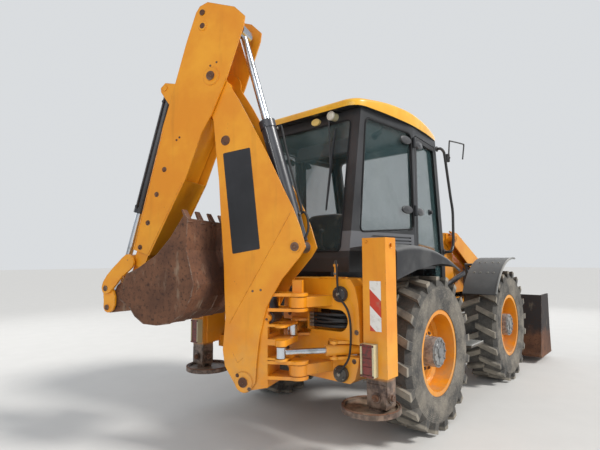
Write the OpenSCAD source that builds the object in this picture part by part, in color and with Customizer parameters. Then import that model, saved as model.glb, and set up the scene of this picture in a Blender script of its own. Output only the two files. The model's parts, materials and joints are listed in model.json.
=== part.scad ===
// Backhoe loader with four equal wheels, a side-shifting digger slewed to its left and a front loader.
// X is forward, Y is to the left, Z is up. Millimetres. The ground is Z = 0.

/* [Wheels and axles] */
// Distance between the axles
wheelbase = 2217; // [2190:1:2260]
// Outer radius of a tyre at the lugs' tips
tyre_r = 700; // [690:1:706]
// Width of a tyre
tyre_w = 430; // [400:5:440]
// Number of lugs on each half of a tyre's tread
lug_count = 20; // [16:1:22]
// Distance of a wheel's middle plane from the machine's middle
wheel_y = 910; // [905:1:925]
// Radius of the rim's flange
rim_r = 389; // [380:1:400]
// Radius of the hub's planetary case
hub_r = 135; // [120:1:150]
// Distance of a kingpin from the machine's middle
kingpin_y = 640; // [630:1:645]
// Radius of a kingpin
kingpin_r = 30; // [26:1:36]
// Radius of an axle's arms
axle_r = 85; // [75:1:92]

/* [Chassis] */
// Height of the chassis rails' lower edge
rail_z = 800; // [796:1:806]
// Depth of the chassis rails
rail_h = 200; // [180:5:220]
// Width of a chassis rail
rail_w = 100; // [80:5:100]
// Distance of a chassis rail's inner face from the middle
rail_y = 230; // [225:1:235]
// Half width of the bonnet
bonnet_half_w = 385; // [370:1:388]
// Height of the bonnet at its rear
bonnet_top_z = 1760; // [1720:5:1780]

/* [Cab] */
// Height of the cab's walls where the roof sits
cab_top_z = 2930; // [2900:5:2950]
// Height of the ledge over the rear wheels
cab_ledge_z = 1450; // [1440:5:1470]
// Height of the cab's floor
cab_floor_z = 1010; // [1005:5:1040]
// Half width of the cab at its door pillars
cab_half_w = 790; // [780:5:800]
// Half width of the cab at its front and rear corners
cab_end_half_w = 705; // [690:5:715]
// Thickness of the cab's walls and doors
cab_wall = 50; // [40:5:60]
// Gap all round a door
door_gap = 8; // [6:1:12]
// Rise of the roof above the walls
roof_h = 165; // [150:5:180]

/* [Rear frame] */
// Width of the frame over the stabilisers
rear_frame_w = 2360; // [2350:5:2380]
// Width of a stabiliser's tube
leg_tube_w = 200; // [190:5:210]
// Top of the stabilisers' tubes
leg_top_z = 1720; // [1690:5:1740]
// Lower end of the stabilisers' tubes
leg_low_z = 690; // [680:5:700]
// Radius of a stabiliser's foot
foot_r = 225; // [200:5:230]
// Height of the feet over the ground
foot_z = 420; // [400:5:440]

/* [Digger] */
// Distance of the slew axis behind the rear axle
kingpost_back = 1360; // [1355:1:1370]
// Gap between the carriage and the right stabiliser
carriage_gap = 34; // [30:1:39]
// Slew of the boom to the left of straight back, in degrees
slew = 71; // [69:1:73]
// Half width of the boom over its plates
boom_half_w = 135; // [130:1:137]
// Thickness of the side plates
plate_t = 15; // [12:1:16]
// Half width of the dipper over its plates
dipper_half_w = 158; // [156:1:162]
// Half width of the digging bucket
dig_half_w = 380; // [370:5:390]
// Radius of the dipper ram's barrel
dipper_ram_r = 62; // [56:1:64]
// Radius of the boom ram's barrel
boom_ram_r = 62; // [56:1:64]
// Radius of the bucket ram's barrel
bucket_ram_r = 52; // [48:1:56]

/* [Loader] */
// Distance of a loader arm's inner face from the middle
arm_y = 440; // [438:1:444]
// Width of a loader arm
arm_w = 110; // [100:2:110]
// Half width of the loader bucket
bucket_half_w = 1200; // [1190:5:1210]
// Radius of the lift rams' barrels
lift_ram_r = 34; // [32:1:35]

/* [Hidden] */
$fn = 64;
rear_axle_x = -950;
front_axle_x = wheelbase;
axle_z = tyre_r;
bead_gap = 0.3;
carriage_half_w = 391;
carriage_y = leg_tube_w + carriage_gap + carriage_half_w - rear_frame_w / 2;
handrail_y = cab_end_half_w + 85;
pin_r = 30;
small_pin_r = 22;
fit_gap = 0.05;
slide_gap = 0.4;
run_gap = 5;

// Boom plane: out from the slew axis, then up
boom_foot = [398, 620];
boom_head = [709, 3087];
boom_ram_base = [215, 1110];
boom_ram_eye = [573, 2527];
dipper_ram_base = [-32, 1655];
dipper_ram_eye = [505, 3494];
nose_pivot = [1640, 1295];
lever_pivot = [1523, 1560];
lever_end = [1768, 1310];
link_end = [1761, 1142];
bucket_ram_base = [1242, 3092];
dipper_end = [1405, 1624];
dipper_dir = [0.4262, -0.9046];

// Loader: forward of the rear axle, then up
arm_pivot = [1880, 1830];
bucket_pivot = [3300, 250];
lift_base = [1600, 1200];
lift_eye = [2580, 1420];
tilt_base = [2700, 1500];
tilt_eye = [3370, 650];

// Slew rams, right then left: heights, trunnions from the slew axis, and eyes on the kingpost
slew_z = [860, 1000];
slew_barrel_back = [262, 282];
slew_eye_r = 145;
slew_eye_turn = 50;
slew_trunnion = [[195, -200], [195, 200]];
slew_eye = [slew_eye_r * [-cos(slew - slew_eye_turn), sin(slew - slew_eye_turn)],
            slew_eye_r * [-cos(slew + slew_eye_turn), sin(slew + slew_eye_turn)]];

function length_of(v) = sqrt(v[0] * v[0] + v[1] * v[1]);
function unit_of(v) = v / length_of(v);

// Arc of n chords that rounds corner b of the outline a, b, c
function corner(a, b, c, r, n) =
    let (u = unit_of(a - b), v = unit_of(c - b), half = acos(u * v) / 2,
        o = b + unit_of(u + v) * r / sin(half),
        p = b + u * r / tan(half) - o, q = b + v * r / tan(half) - o,
        from = atan2(p[1], p[0]), turn = (atan2(q[1], q[0]) - from + 540) % 360 - 180)
    [for (k = [0 : n]) o + r * [cos(from + turn * k / n), sin(from + turn * k / n)]];

// Outline with each corner rounded
function rounded(p, r, n = 3) =
    [for (i = [0 : len(p) - 1]) each corner(p[(i + len(p) - 1) % len(p)], p[i], p[(i + 1) % len(p)], r, n)];
function beside(a, b, t, n) =
    let (d = unit_of(b - a)) a + t * d + n * [-d[1], d[0]];
function on_dipper(t, p) = [dipper_end[0] + dipper_dir[0] * t - dipper_dir[1] * p,
                            dipper_end[1] + dipper_dir[1] * t + dipper_dir[0] * p];

// Places children in the frame of the rear axle's middle on the ground
module machine() {
    translate([rear_axle_x, 0, 0]) children();
}

// Children's X runs out along the boom from the slew axis, and Y to the boom's right
module digger() {
    machine() translate([-kingpost_back, carriage_y, 0]) rotate([0, 0, 180 - slew]) children();
}

// Makes children on both sides
module both_sides() {
    children();
    mirror([0, 1, 0]) children();
}

// Extrudes a side view from y0 to y1
module side(y0, y1) {
    translate([0, y1, 0]) rotate([90, 0, 0]) linear_extrude(y1 - y0) children();
}

// Extrudes a plan view from z0 to z1
module plan(z0, z1) {
    translate([0, 0, z0]) linear_extrude(z1 - z0) children();
}

// Extrudes a view from behind, drawn in Y and Z, from x0 to x1
module across(x0, x1) {
    translate([x0, 0, 0]) rotate([90, 0, 90]) linear_extrude(x1 - x0) children();
}

// Box between two corners
module block(a, b) {
    translate(a) cube(b - a);
}

// Cylinder along Y at a point of the side view
module cross_pin(p, y0, y1, r) {
    translate([p[0], y1, p[1]]) rotate([90, 0, 0]) cylinder(r = r, h = y1 - y0);
}

// Cylinder from p towards q in a side view, between two distances from p
module along(p, q, y, from, to, r) {
    translate([p[0], y, p[1]]) rotate([0, atan2(q[0] - p[0], q[1] - p[1]), 0])
        translate([0, 0, from]) cylinder(r = r, h = to - from);
}

// Pipe or hose of radius r through points of the side view at y, with a ball a little larger at each bend
module side_pipe(points, y, r) {
    for (i = [0 : len(points) - 2])
        along(points[i], points[i + 1], y, 0, length_of(points[i + 1] - points[i]), r);
    for (i = [1 : len(points) - 2])
        translate([points[i][0], y, points[i][1]]) sphere(r = r + 3, $fn = 24);
}

// Flat bar of width w between two points of a drawing
module bar_2d(p, q, w) {
    translate(p) rotate(atan2(q[1] - p[1], q[0] - p[0])) translate([0, -w / 2])
        square([length_of(q - p), w]);
}

// Ram's barrel with an eye at p round a pin, its bore open at the far end
module ram_barrel(p, q, y, r, rod_r, barrel_l, eye_w, eye_pin_r, pipe_from = 0) {
    gland_l = 1.1 * r;
    difference() {
        union() {
            along(p, q, y, eye_pin_r + 12, barrel_l, r);
            along(p, q, y, barrel_l - gland_l, barrel_l, r * 1.1);
            cross_pin(p, y - eye_w / 2, y + eye_w / 2, eye_pin_r + 18);
            if (pipe_from > 0) {
                along(p, q, y + r + 8, pipe_from, barrel_l - 40, 8);
                for (t = [pipe_from + 20, barrel_l - 60])
                    cross_pin(beside(p, q, t, 0), y + r - 10, y + r + 18, 13);
            }
        }
        along(p, q, y, eye_pin_r + 40, barrel_l + 1, rod_r + slide_gap);
        cross_pin(p, y - eye_w, y + eye_w, eye_pin_r + fit_gap);
    }
}

// Ram's rod, which ends in an eye at q
module ram_rod(p, q, y, rod_r, start_l, eye_r, eye_w) {
    total_l = length_of(q - p);
    along(p, q, y, start_l, total_l - eye_r * 0.8, rod_r);
    cross_pin(q, y - eye_w / 2, y + eye_w / 2, eye_r);
}

// Outline of one wheel's tyre between its lugs, in radius and distance outwards
module tyre_profile() {
    half = tyre_w / 2;
    bead = rim_r - 14 + bead_gap;
    flange = rim_r + bead_gap;
    polygon([[bead, 45.4 - half], [flange, 39.4 - half], [flange, 18 - half], [tyre_r - 200, -half],
        [tyre_r - 95, 4 - half], [tyre_r - 46, 44 - half], [tyre_r - 46, half - 44], [tyre_r - 95, half - 4],
        [tyre_r - 200, half], [flange, half - 18], [flange, half - 39.4], [bead, half - 45.4]]);
}

// Tyre about the Y axis, with a staggered row of slanting lugs on each half
module tyre() {
    half = tyre_w / 2;
    top = sqrt(tyre_r * tyre_r - 84 * 84);
    rotate([90, 0, 0]) rotate_extrude() tyre_profile();
    for (s = [0, 1])
        mirror([0, s, 0]) for (i = [0 : lug_count - 1])
            rotate([0, (i + s / 2) * 360 / lug_count, 0]) translate([0, 0, top - 92])
                linear_extrude(92) polygon([[84, -14], [20, -14], [-84, half - 3], [-14, half - 3]]);
}

// Rim and hub about the Y axis, with their outer face towards +Y
module rim() {
    half = tyre_w / 2 - 25;
    seat = rim_r - 14;
    disc_y = 40;
    rotate([-90, 0, 0]) rotate_extrude($fn = 96)
        polygon([[hub_r, disc_y + 30], [hub_r, disc_y], [seat - 70, disc_y - 50], [seat - 28, -half + 60],
            [seat - 28, -half], [rim_r, -half], [rim_r, -half + 14], [seat, -half + 20],
            [seat, half - 20], [rim_r, half - 14], [rim_r, half], [seat - 28, half],
            [seat - 28, disc_y - 10], [seat - 70, disc_y - 30]]);
    difference() {
        rotate([-90, 0, 0]) translate([0, 0, -100]) cylinder(r = hub_r + 1, h = 285);
        rotate([-90, 0, 0]) translate([0, 0, -101]) cylinder(r = 60 + fit_gap, h = 131);
    }
}

// Places a wheel's piece at an axle's end: x of the axle, side 1 left or -1 right
module at_wheel(x, s) {
    machine() translate([x, s * wheel_y, axle_z]) mirror([0, s < 0 ? 1 : 0, 0]) children();
}

// Steering knuckle with its spindle, outward along +Y from the kingpin
module knuckle() {
    offset_y = wheel_y - kingpin_y;
    translate([0, 0, -140]) cylinder(r = 65, h = 280);
    translate([0, 0, -175]) cylinder(r = kingpin_r, h = 350);
    rotate([-90, 0, 0]) cylinder(r = 85, h = offset_y - 110);
    rotate([-90, 0, 0]) cylinder(r = 60, h = offset_y + 25);
}

module at_kingpin(x, s) {
    machine() translate([x, s * kingpin_y, axle_z]) mirror([0, s < 0 ? 1 : 0, 0]) children();
}

// Axle beam with its forks
module axle(x) {
    machine() translate([x, 0, axle_z]) {
        difference() {
            union() {
                rotate([0, 90, 0]) translate([0, 0, -130]) cylinder(r = 165, h = 260);
                both_sides() {
                    rotate([-90, 0, 0]) cylinder(r = axle_r, h = kingpin_y - 75);
                    block([-80, kingpin_y - 90, -180], [80, kingpin_y - 72, 180]);
                    plan(145, 180) fork_2d();
                    plan(-180, -145) fork_2d();
                }
            }
            both_sides() translate([0, kingpin_y, -200]) cylinder(r = kingpin_r + fit_gap, h = 400);
        }
    }
}

module fork_2d() {
    translate([-80, kingpin_y - 90]) square([160, 90]);
    translate([0, kingpin_y]) circle(79);
}

module axle_front() {
    color("#3a3a3a") axle(front_axle_x);
}

module axle_rear() {
    color("#3a3a3a") axle(0);
}

module knuckle_front_left() {
    color("#3a3a3a") at_kingpin(front_axle_x, 1) knuckle();
}

module rim_front_left() {
    color("#e09a20") at_wheel(front_axle_x, 1) rim();
}

module tyre_front_left() {
    color("#4a4640") at_wheel(front_axle_x, 1) tyre();
}

module knuckle_rear_left() {
    color("#3a3a3a") at_kingpin(0, 1) knuckle();
}

module rim_rear_left() {
    color("#e09a20") at_wheel(0, 1) rim();
}

module tyre_rear_left() {
    color("#4a4640") at_wheel(0, 1) tyre();
}

module knuckle_front_right() {
    color("#3a3a3a") at_kingpin(front_axle_x, -1) knuckle();
}

module rim_front_right() {
    color("#e09a20") at_wheel(front_axle_x, -1) rim();
}

module tyre_front_right() {
    color("#4a4640") at_wheel(front_axle_x, -1) tyre();
}

module knuckle_rear_right() {
    color("#3a3a3a") at_kingpin(0, -1) knuckle();
}

module rim_rear_right() {
    color("#e09a20") at_wheel(0, -1) rim();
}

module tyre_rear_right() {
    color("#4a4640") at_wheel(0, -1) tyre();
}

module chassis_frame() {
    tower_x0 = arm_pivot[0] - 150;
    tower_x1 = arm_pivot[0] + 170;
    color("#e8a020") machine() difference() {
        union() {
            both_sides() {
                block([-780, rail_y, rail_z], [2700, rail_y + rail_w, rail_z + rail_h]);
                side(398, 432) polygon([[1560, rail_z + 40], [tower_x1 + 40, rail_z + 40],
                    [tower_x1, arm_pivot[1] - 60], [arm_pivot[0] + 60, arm_pivot[1] + 80],
                    [arm_pivot[0] - 60, arm_pivot[1] + 80], [tower_x0, arm_pivot[1] - 60],
                    [tower_x0, 1300], lift_base + [0, 50], lift_base + [-50, 10]]);
                block([tower_x0, rail_y + rail_w - 1, rail_z + 40], [tower_x1 + 40, 399, rail_z + 180]);
                cross_pin(arm_pivot, 431, arm_y + arm_w + 12, 40);
                cross_pin(lift_base, 431, arm_y + 15, 40);
                cross_pin(lift_base, arm_y + 14, arm_y + arm_w / 2 + 42, small_pin_r);
            }
            for (x = [-600, 300, 700, 2600])
                block([x, -rail_y - 1, rail_z + 20], [x + 60, rail_y + 1, rail_z + 90]);
            block([2700, -330, 480], [2860, 330, 1000]);
            for (x = [0, front_axle_x])
                both_sides() block([x - 110, 235, axle_z + axle_r - 8], [x + 110, 325, rail_z + 1]);
        }
        for (x = [0, front_axle_x]) machine_axle_bore(x);
        translate([2820, 0, 470]) cylinder(r = 20, h = 560);
    }
}

// Room for an axle's arm under its pad
module machine_axle_bore(x) {
    cross_pin([x, axle_z], -400, 400, axle_r + bead_gap);
}

module engine_and_gearbox() {
    color("#4a4a48") machine() {
        block([1500, -210, axle_z + 180], [2480, 210, 1480]);
        block([820, -180, axle_z - 60], [1499.7, 180, axle_z + 300]);
        for (x = [[220, 820], [1499, 2000]])
            translate([x[0], 0, axle_z + 20]) rotate([0, 90, 0]) cylinder(r = 40, h = x[1] - x[0]);
    }
}

module bonnet() {
    t = 25;
    color("#e8a020") machine() difference() {
        intersection() {
            side(-bonnet_half_w, bonnet_half_w) polygon([[1260, 1080], [2560, 1080], [2560, 1530],
                [2300, 1630], [1210, bonnet_top_z], [1210, 1480]]);
            across(1200, 2570) polygon([[-bonnet_half_w, 1000], [bonnet_half_w, 1000],
                [bonnet_half_w, 1500], [bonnet_half_w - 90, 1800], [90 - bonnet_half_w, 1800],
                [-bonnet_half_w, 1500]]);
        }
        intersection() {
            side(t - bonnet_half_w, bonnet_half_w - t) polygon([[1200, 1070], [2580, 1070],
                [2580, 1520 - t], [2300, 1630 - t], [1200, bonnet_top_z - t]]);
            across(1190, 2580) polygon([[t - bonnet_half_w, 990], [bonnet_half_w - t, 990],
                [bonnet_half_w - t, 1495], [bonnet_half_w - 105, 1800], [105 - bonnet_half_w, 1800],
                [t - bonnet_half_w, 1495]]);
        }
        for (x = [1650 : 70 : 2210])
            block([x, -bonnet_half_w - 1, 1180], [x + 34, bonnet_half_w + 1, 1400]);
    }
}

module nose_grille() {
    color("#2c2c2c") machine() difference() {
        side(-bonnet_half_w, bonnet_half_w) polygon([[2570, 1010], [2850, 1010], [2850, 1330],
            [2780, 1450], [2570, 1520]]);
        side(30 - bonnet_half_w, bonnet_half_w - 30) polygon([[2560, 1040], [2820, 1040], [2820, 1320],
            [2760, 1420], [2560, 1480]]);
        for (z = [1080 : 50 : 1280])
            block([2800, 60 - bonnet_half_w, z], [2860, bonnet_half_w - 60, z + 26]);
    }
}

// Side view of the cab, grown inwards by w
module cab_side_2d(w) {
    polygon([[w - 870, cab_ledge_z + w], [w - 870, 1570], [w - 670, cab_top_z + (w > 0 ? 20 : 0)],
        [905 - w, cab_top_z + (w > 0 ? 20 : 0)], [1150 - w, 1500], [1150 - w, cab_floor_z + w],
        [850 + w, cab_floor_z + w], [850 + w, cab_ledge_z + w]]);
}

// Plan of the cab, grown inwards by w
module cab_plan_2d(w) {
    polygon([[-1000, cab_end_half_w - 15 - w], [200, cab_half_w - w], [1200, cab_end_half_w - 10 - w],
        [1200, w + 10 - cab_end_half_w], [200, w - cab_half_w], [-1000, w + 15 - cab_end_half_w]]);
}

// Cab's outside form, grown inwards by w
module cab_form(w) {
    intersection() {
        side(-900, 900) cab_side_2d(w);
        plan(900, 3000) cab_plan_2d(w);
    }
}

// Door's outline in the side view, grown inwards by w
module door_2d(w) {
    polygon(rounded([[235 + w, cab_top_z - 80 - w], [870 - w, cab_top_z - 80 - w], [1095 - w, 1500],
        [1095 - w, cab_floor_z + 60 + w], [905 + w, cab_floor_z + 60 + w], [700 + w, 1560 + w],
        [235 + w, 1560 + w]], 30));
}

// Cuts of the cab's fixed windows
module window_cuts() {
    side(-900, 900) polygon(rounded([[-728, 1790], [-610, cab_top_z - 75], [165, cab_top_z - 75],
        [188, 1850]], 60));
    across(-1000, -500) polygon(rounded([[-610, 1620], [610, 1620], [625, cab_top_z - 90],
        [-625, cab_top_z - 90]], 50));
    across(700, 1300) polygon(rounded([[-610, 1540], [610, 1540], [625, cab_top_z - 80],
        [-625, cab_top_z - 80]], 50));
}

module cab_frame() {
    color("#26282a") machine() difference() {
        union() {
            difference() {
                cab_form(0);
                cab_form(cab_wall);
            }
            block([-765, -430, cab_floor_z], [851, 430, cab_ledge_z + 1]);
        }
        block([-725, -390, cab_floor_z + 50], [1099, 390, cab_ledge_z + 60]);
        both_sides() side(560, 900) door_2d(0);
        window_cuts();
        both_sides() intersection() {
            difference() {
                cab_form(-1);
                cab_form(14);
            }
            for (z = [1660 : 33 : 1760])
                side(500, 900) polygon([[-560, z], [-520, z + 14], [120, z + 14], [120, z]]);
        }
    }
}

module cab_roof() {
    color("#e8a020") machine() intersection() {
        side(-900, 900) polygon([[-760, cab_top_z], [-770, cab_top_z + 60], [-640, cab_top_z + 125],
            [-300, cab_top_z + roof_h - 8], [200, cab_top_z + roof_h], [650, cab_top_z + roof_h - 25],
            [900, cab_top_z + 95], [985, cab_top_z + 20], [980, cab_top_z]]);
        across(-800, 1000) polygon([[-810, cab_top_z], [810, cab_top_z], [805, cab_top_z + 45],
            [720, cab_top_z + 110], [420, cab_top_z + roof_h - 12], [0, cab_top_z + roof_h + 1],
            [-420, cab_top_z + roof_h - 12], [-720, cab_top_z + 110], [-805, cab_top_z + 45]]);
        plan(cab_top_z, cab_top_z + 200) polygon(rounded([[-775, 738], [150, 812], [990, 717],
            [990, -717], [150, -812], [-775, -738]], 130, 4));
    }
}

module cab_glass() {
    inset = cab_wall / 2 - 4;
    color("#8fb6b0", 0.4) machine() intersection() {
        difference() {
            cab_form(inset);
            cab_form(inset + 8);
        }
        union() {
            window_cuts();
        }
        plan(1600, cab_top_z - 1) square([2200, 1700], center = true);
    }
}

module door() {
    difference() {
        intersection() {
            difference() {
                cab_form(0);
                cab_form(cab_wall);
            }
            side(560, 900) door_2d(door_gap);
        }
        side(0, 900) difference() {
            door_2d(55);
            translate([0, 1480]) square([2000, 45]);
        }
    }
    intersection() {
        difference() {
            cab_form(cab_wall / 2 - 4);
            cab_form(cab_wall / 2 + 4);
        }
        side(560, 900) door_2d(54);
    }
}

module door_left() {
    color("#2a2c2e") machine() door();
}

module door_right() {
    color("#2a2c2e") machine() mirror([0, 1, 0]) door();
}

module operator_seat() {
    color("#303236") machine() {
        block([-120, -180, cab_floor_z + 50], [220, 180, 1330]);
        block([-180, -250, 1330], [280, 250, 1460]);
        side(-240, 240) polygon([[-180, 1460], [-50, 1460], [-150, 2050], [-240, 2050]]);
    }
}

module controls() {
    color("#3a3c40") machine() {
        block([860, -300, cab_floor_z + 50], [1090, 300, 1480]);
        along([900, 1450], [620, 1780], 0, 0, 400, 30);
        translate([640, 0, 1757]) rotate([0, -40.3, 0]) rotate_extrude($fn = 48)
            translate([190, 0]) circle(14);
        translate([640, 0, 1757]) rotate([0, -40.3, 0]) translate([0, 0, -8]) difference() {
            cylinder(r = 192, h = 10);
            translate([0, 0, -1]) difference() {
                cylinder(r = 176, h = 12);
                block([-20, -200, -5], [20, 200, 20]);
            }
        }
        block([-760, -420, cab_ledge_z + 60], [-520, 420, 1600]);
        both_sides() translate([-600, 200, 1599]) cylinder(r = 10, h = 220);
        both_sides() translate([-600, 200, 1830]) sphere(r = 24);
    }
}

module rear_mudguards() {
    color("#4b4d50") machine() both_sides() difference() {
        union() {
            side(600, 1150) polygon([[-870, 1655], [-500, 1680], [-100, 1645], [200, 1575], [440, 1480],
                [430, 1455], [190, 1548], [-100, 1618], [-500, 1653], [-870, 1628]]);
            side(1128, 1150) polygon([[-870, 1655], [-500, 1680], [-100, 1645], [200, 1575], [440, 1480],
                [400, 1450], [0, 1520], [-500, 1470], [-870, 1395]]);
        }
        cab_form(-bead_gap);
    }
}

module side_tanks() {
    color("#303234") machine() both_sides() {
        block([870, rail_y + rail_w, 620], [1360, 640, 990]);
        block([920, 639, 900], [1310, 860, 922]);
        block([920, 850, 590], [1310, 1060, 612]);
        for (x = [925, 1293])
            block([x, 838, 590], [x + 12, 862, 921]);
    }
}

module handrails() {
    rail_r = 16;
    points = [[1120, 1640], [1195, 1720], [1205, 2120], [1000, 2810], [900, 2835]];
    color("#1c1c1c") machine() both_sides() {
        side_pipe(points, handrail_y, rail_r);
        for (p = [points[0], points[4]]) {
            translate([p[0], handrail_y, p[1]]) sphere(r = rail_r + 3, $fn = 24);
            cross_pin(p, cab_end_half_w + (p[1] < 2000 ? 0 : 35), handrail_y, rail_r - 3);
        }
        side_pipe([[1057, 2775], [1090, 2958], [1560, 3011], [1500, 2806]], handrail_y + 32, 9);
        translate([1066, handrail_y + 16, 2700]) cylinder(r = 24, h = 96);
    }
}

module lamps() {
    color("#c9c9c4") machine() {
        both_sides() {
            difference() {
                block([-1165, 990, 700], [-1101, 1105, 935]);
                block([-1166, 1004, 714], [-1140, 1091, 921]);
            }
            block([-1160, 1006, 716], [-1139.5, 1089, 919]);
            translate([-753, 440, cab_top_z - 45]) rotate([0, 90, 0]) cylinder(r = 40, h = 70);
            translate([1000, 560, cab_top_z + 60]) rotate([0, 90, 0]) cylinder(r = 50, h = 55);
        }
    }
}

module mudguard_front(s) {
    guard_r = 855;
    color("#3c3e42") at_kingpin(front_axle_x, s) {
        translate([0, 535, 0]) rotate([90, 0, 0]) rotate([0, 0, 84])
            rotate_extrude(angle = 66) translate([guard_r, 0]) square([16, 400]);
        along([-105.3, 0], [-320, 780], 30, 0, 809, 17);
        cross_pin([-320, 780], 30, 500, 16);
        for (p = [[-105.3, 0], [-320, 780]])
            translate([p[0], 30, p[1]]) sphere(r = 20, $fn = 24);
    }
}

module mudguard_front_left() {
    mudguard_front(1);
}

module mudguard_front_right() {
    mudguard_front(-1);
}

module loader_arms() {
    arm_points = [[1815, 1900], [1940, 1905], [2780, 1540], [3000, 1370], [3120, 1020], [3355, 260],
        [3300, 190], [3235, 235], [2985, 980], [2930, 1120], [2680, 1300], [1900, 1710], [1805, 1770]];
    color("#e8a020") machine() difference() {
        union() {
            both_sides() for (y = [arm_y, arm_y + arm_w - plate_t]) {
                side(y, y + plate_t) polygon(arm_points);
            }
            both_sides() {
                cross_pin([3010, 1150], 0, arm_y + 1, 60);
                cross_pin(tilt_base, arm_y + 1, arm_y + arm_w - 1, small_pin_r);
                side(arm_y, arm_y + arm_w) polygon([[1960, 1890], [2780, 1538], [2998, 1366],
                    [2988, 1354], [2770, 1522], [1953, 1873]]);
                for (y = [arm_y + 36, arm_y + 74])
                    side_pipe([[1880, 1924], [1975, 1898], [2782, 1547], [2960, 1402]], y, 13);
            }
        }
        both_sides() cross_pin(arm_pivot, arm_y - 10, arm_y + arm_w + 30, 40 + fit_gap);
        both_sides() cross_pin(bucket_pivot, arm_y - 10, arm_y + arm_w + 30, 25 + fit_gap);
    }
}

module loader_bucket() {
    back = [[3420, 85], [3390, 130], [3560, 1000], [3590, 995], [3425, 145], [3450, 112]];
    color("#5a4030") machine() {
        side(-bucket_half_w, bucket_half_w) polygon([[3420, 85], [3390, 140], [3560, 1000], [3590, 995],
            [3422, 150], [3445, 115], [4060, 105], [4060, 85]]);
        both_sides() {
            side(bucket_half_w - 25, bucket_half_w) polygon([[3400, 90], [4055, 90], [4010, 500],
                [3990, 1000], [3561, 998], [3392, 140]]);
            for (y = [arm_y - plate_t - 8, arm_y + arm_w + 8])
                side(y, y + plate_t) polygon([[3250, 230], [3290, 195], [3400, 150], [3575, 998],
                    [3440, 700], [3400, 660], [3330, 300], [3270, 290]]);
            cross_pin(bucket_pivot, arm_y - plate_t - 7, arm_y + arm_w + plate_t + 7, 25);
        }
        for (y = [-1000 : 250 : 1000])
            block([4050, y - 30, 85], [4130, y + 30, 110]);
    }
}

module lift_ram_barrels() {
    color("#2a2a2a") machine() both_sides()
        ram_barrel(lift_base, lift_eye, arm_y + arm_w / 2, lift_ram_r, 20, 820, 66, small_pin_r);
}

module lift_ram_rods() {
    color("#d8dce0") machine() both_sides()
        ram_rod(lift_base, lift_eye, arm_y + arm_w / 2, 20, 120, 34, 66);
}

module tilt_ram_barrels() {
    color("#2a2a2a") machine() both_sides()
        ram_barrel(tilt_base, tilt_eye, arm_y + arm_w / 2, lift_ram_r, 20, 850, 66, small_pin_r);
}

module tilt_ram_rods() {
    color("#d8dce0") machine() both_sides()
        ram_rod(tilt_base, tilt_eye, arm_y + arm_w / 2, 20, 300, 34, 66);
}

module rear_frame() {
    out_y = rear_frame_w / 2;
    in_y = out_y - leg_tube_w;
    wall = 12;
    color("#e8a020") machine() {
        for (z = [640, 1250])
            block([-895, -in_y, z], [-830, in_y, z + 120]);
        both_sides() {
            difference() {
                block([-1100, in_y, leg_low_z], [-945, out_y, leg_top_z]);
                block([wall - 1100, in_y + wall, leg_low_z - 1], [-945 - wall, out_y - wall, leg_top_z - wall]);
                cross_pin([-1022, leg_top_z - 60], out_y - 20, out_y + 1, 17);
            }
            block([-1060, in_y - 25, 700], [-829, in_y + 1, 1400]);
            block([-831, rail_y, 700], [-780, rail_y + rail_w, 1320]);
        }
    }
}

module stabiliser() {
    out_y = rear_frame_w / 2;
    in_y = out_y - leg_tube_w;
    gap = 14;
    color("#e8a020") machine() {
        block([gap - 1100, in_y + gap, 560], [-945 - gap, out_y - gap, leg_top_z - 40]);
        block([-1092, in_y + 20, 470], [-953, out_y - 20, 640]);
        for (y = [in_y + 8, out_y - 21])
            cross_pin([-1022, 545], y, y + 13, 42);
        cross_pin([-1022, 545], in_y + 2, out_y - 2, 20);
        translate([-1104, in_y + 100, 545]) rotate([0, 90, 0]) cylinder(r = 36, h = 20);
        translate([-1022, in_y + 10, foot_z]) cylinder(r = foot_r, h = 22);
        translate([-1022, in_y + 10, foot_z + 21]) difference() {
            cylinder(r = foot_r, h = 18);
            translate([0, 0, -1]) cylinder(r = foot_r - 26, h = 20);
        }
        for (x = [-1072, -990])
            block([x, in_y + 20, foot_z + 21], [x + 18, out_y - 70, 490]);
    }
}

module stabiliser_left() {
    stabiliser();
}

module stabiliser_right() {
    mirror([0, 1, 0]) stabiliser();
}

// Places children at the carriage's middle, across the machine
module at_carriage() {
    machine() translate([0, carriage_y, 0]) children();
}

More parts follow.
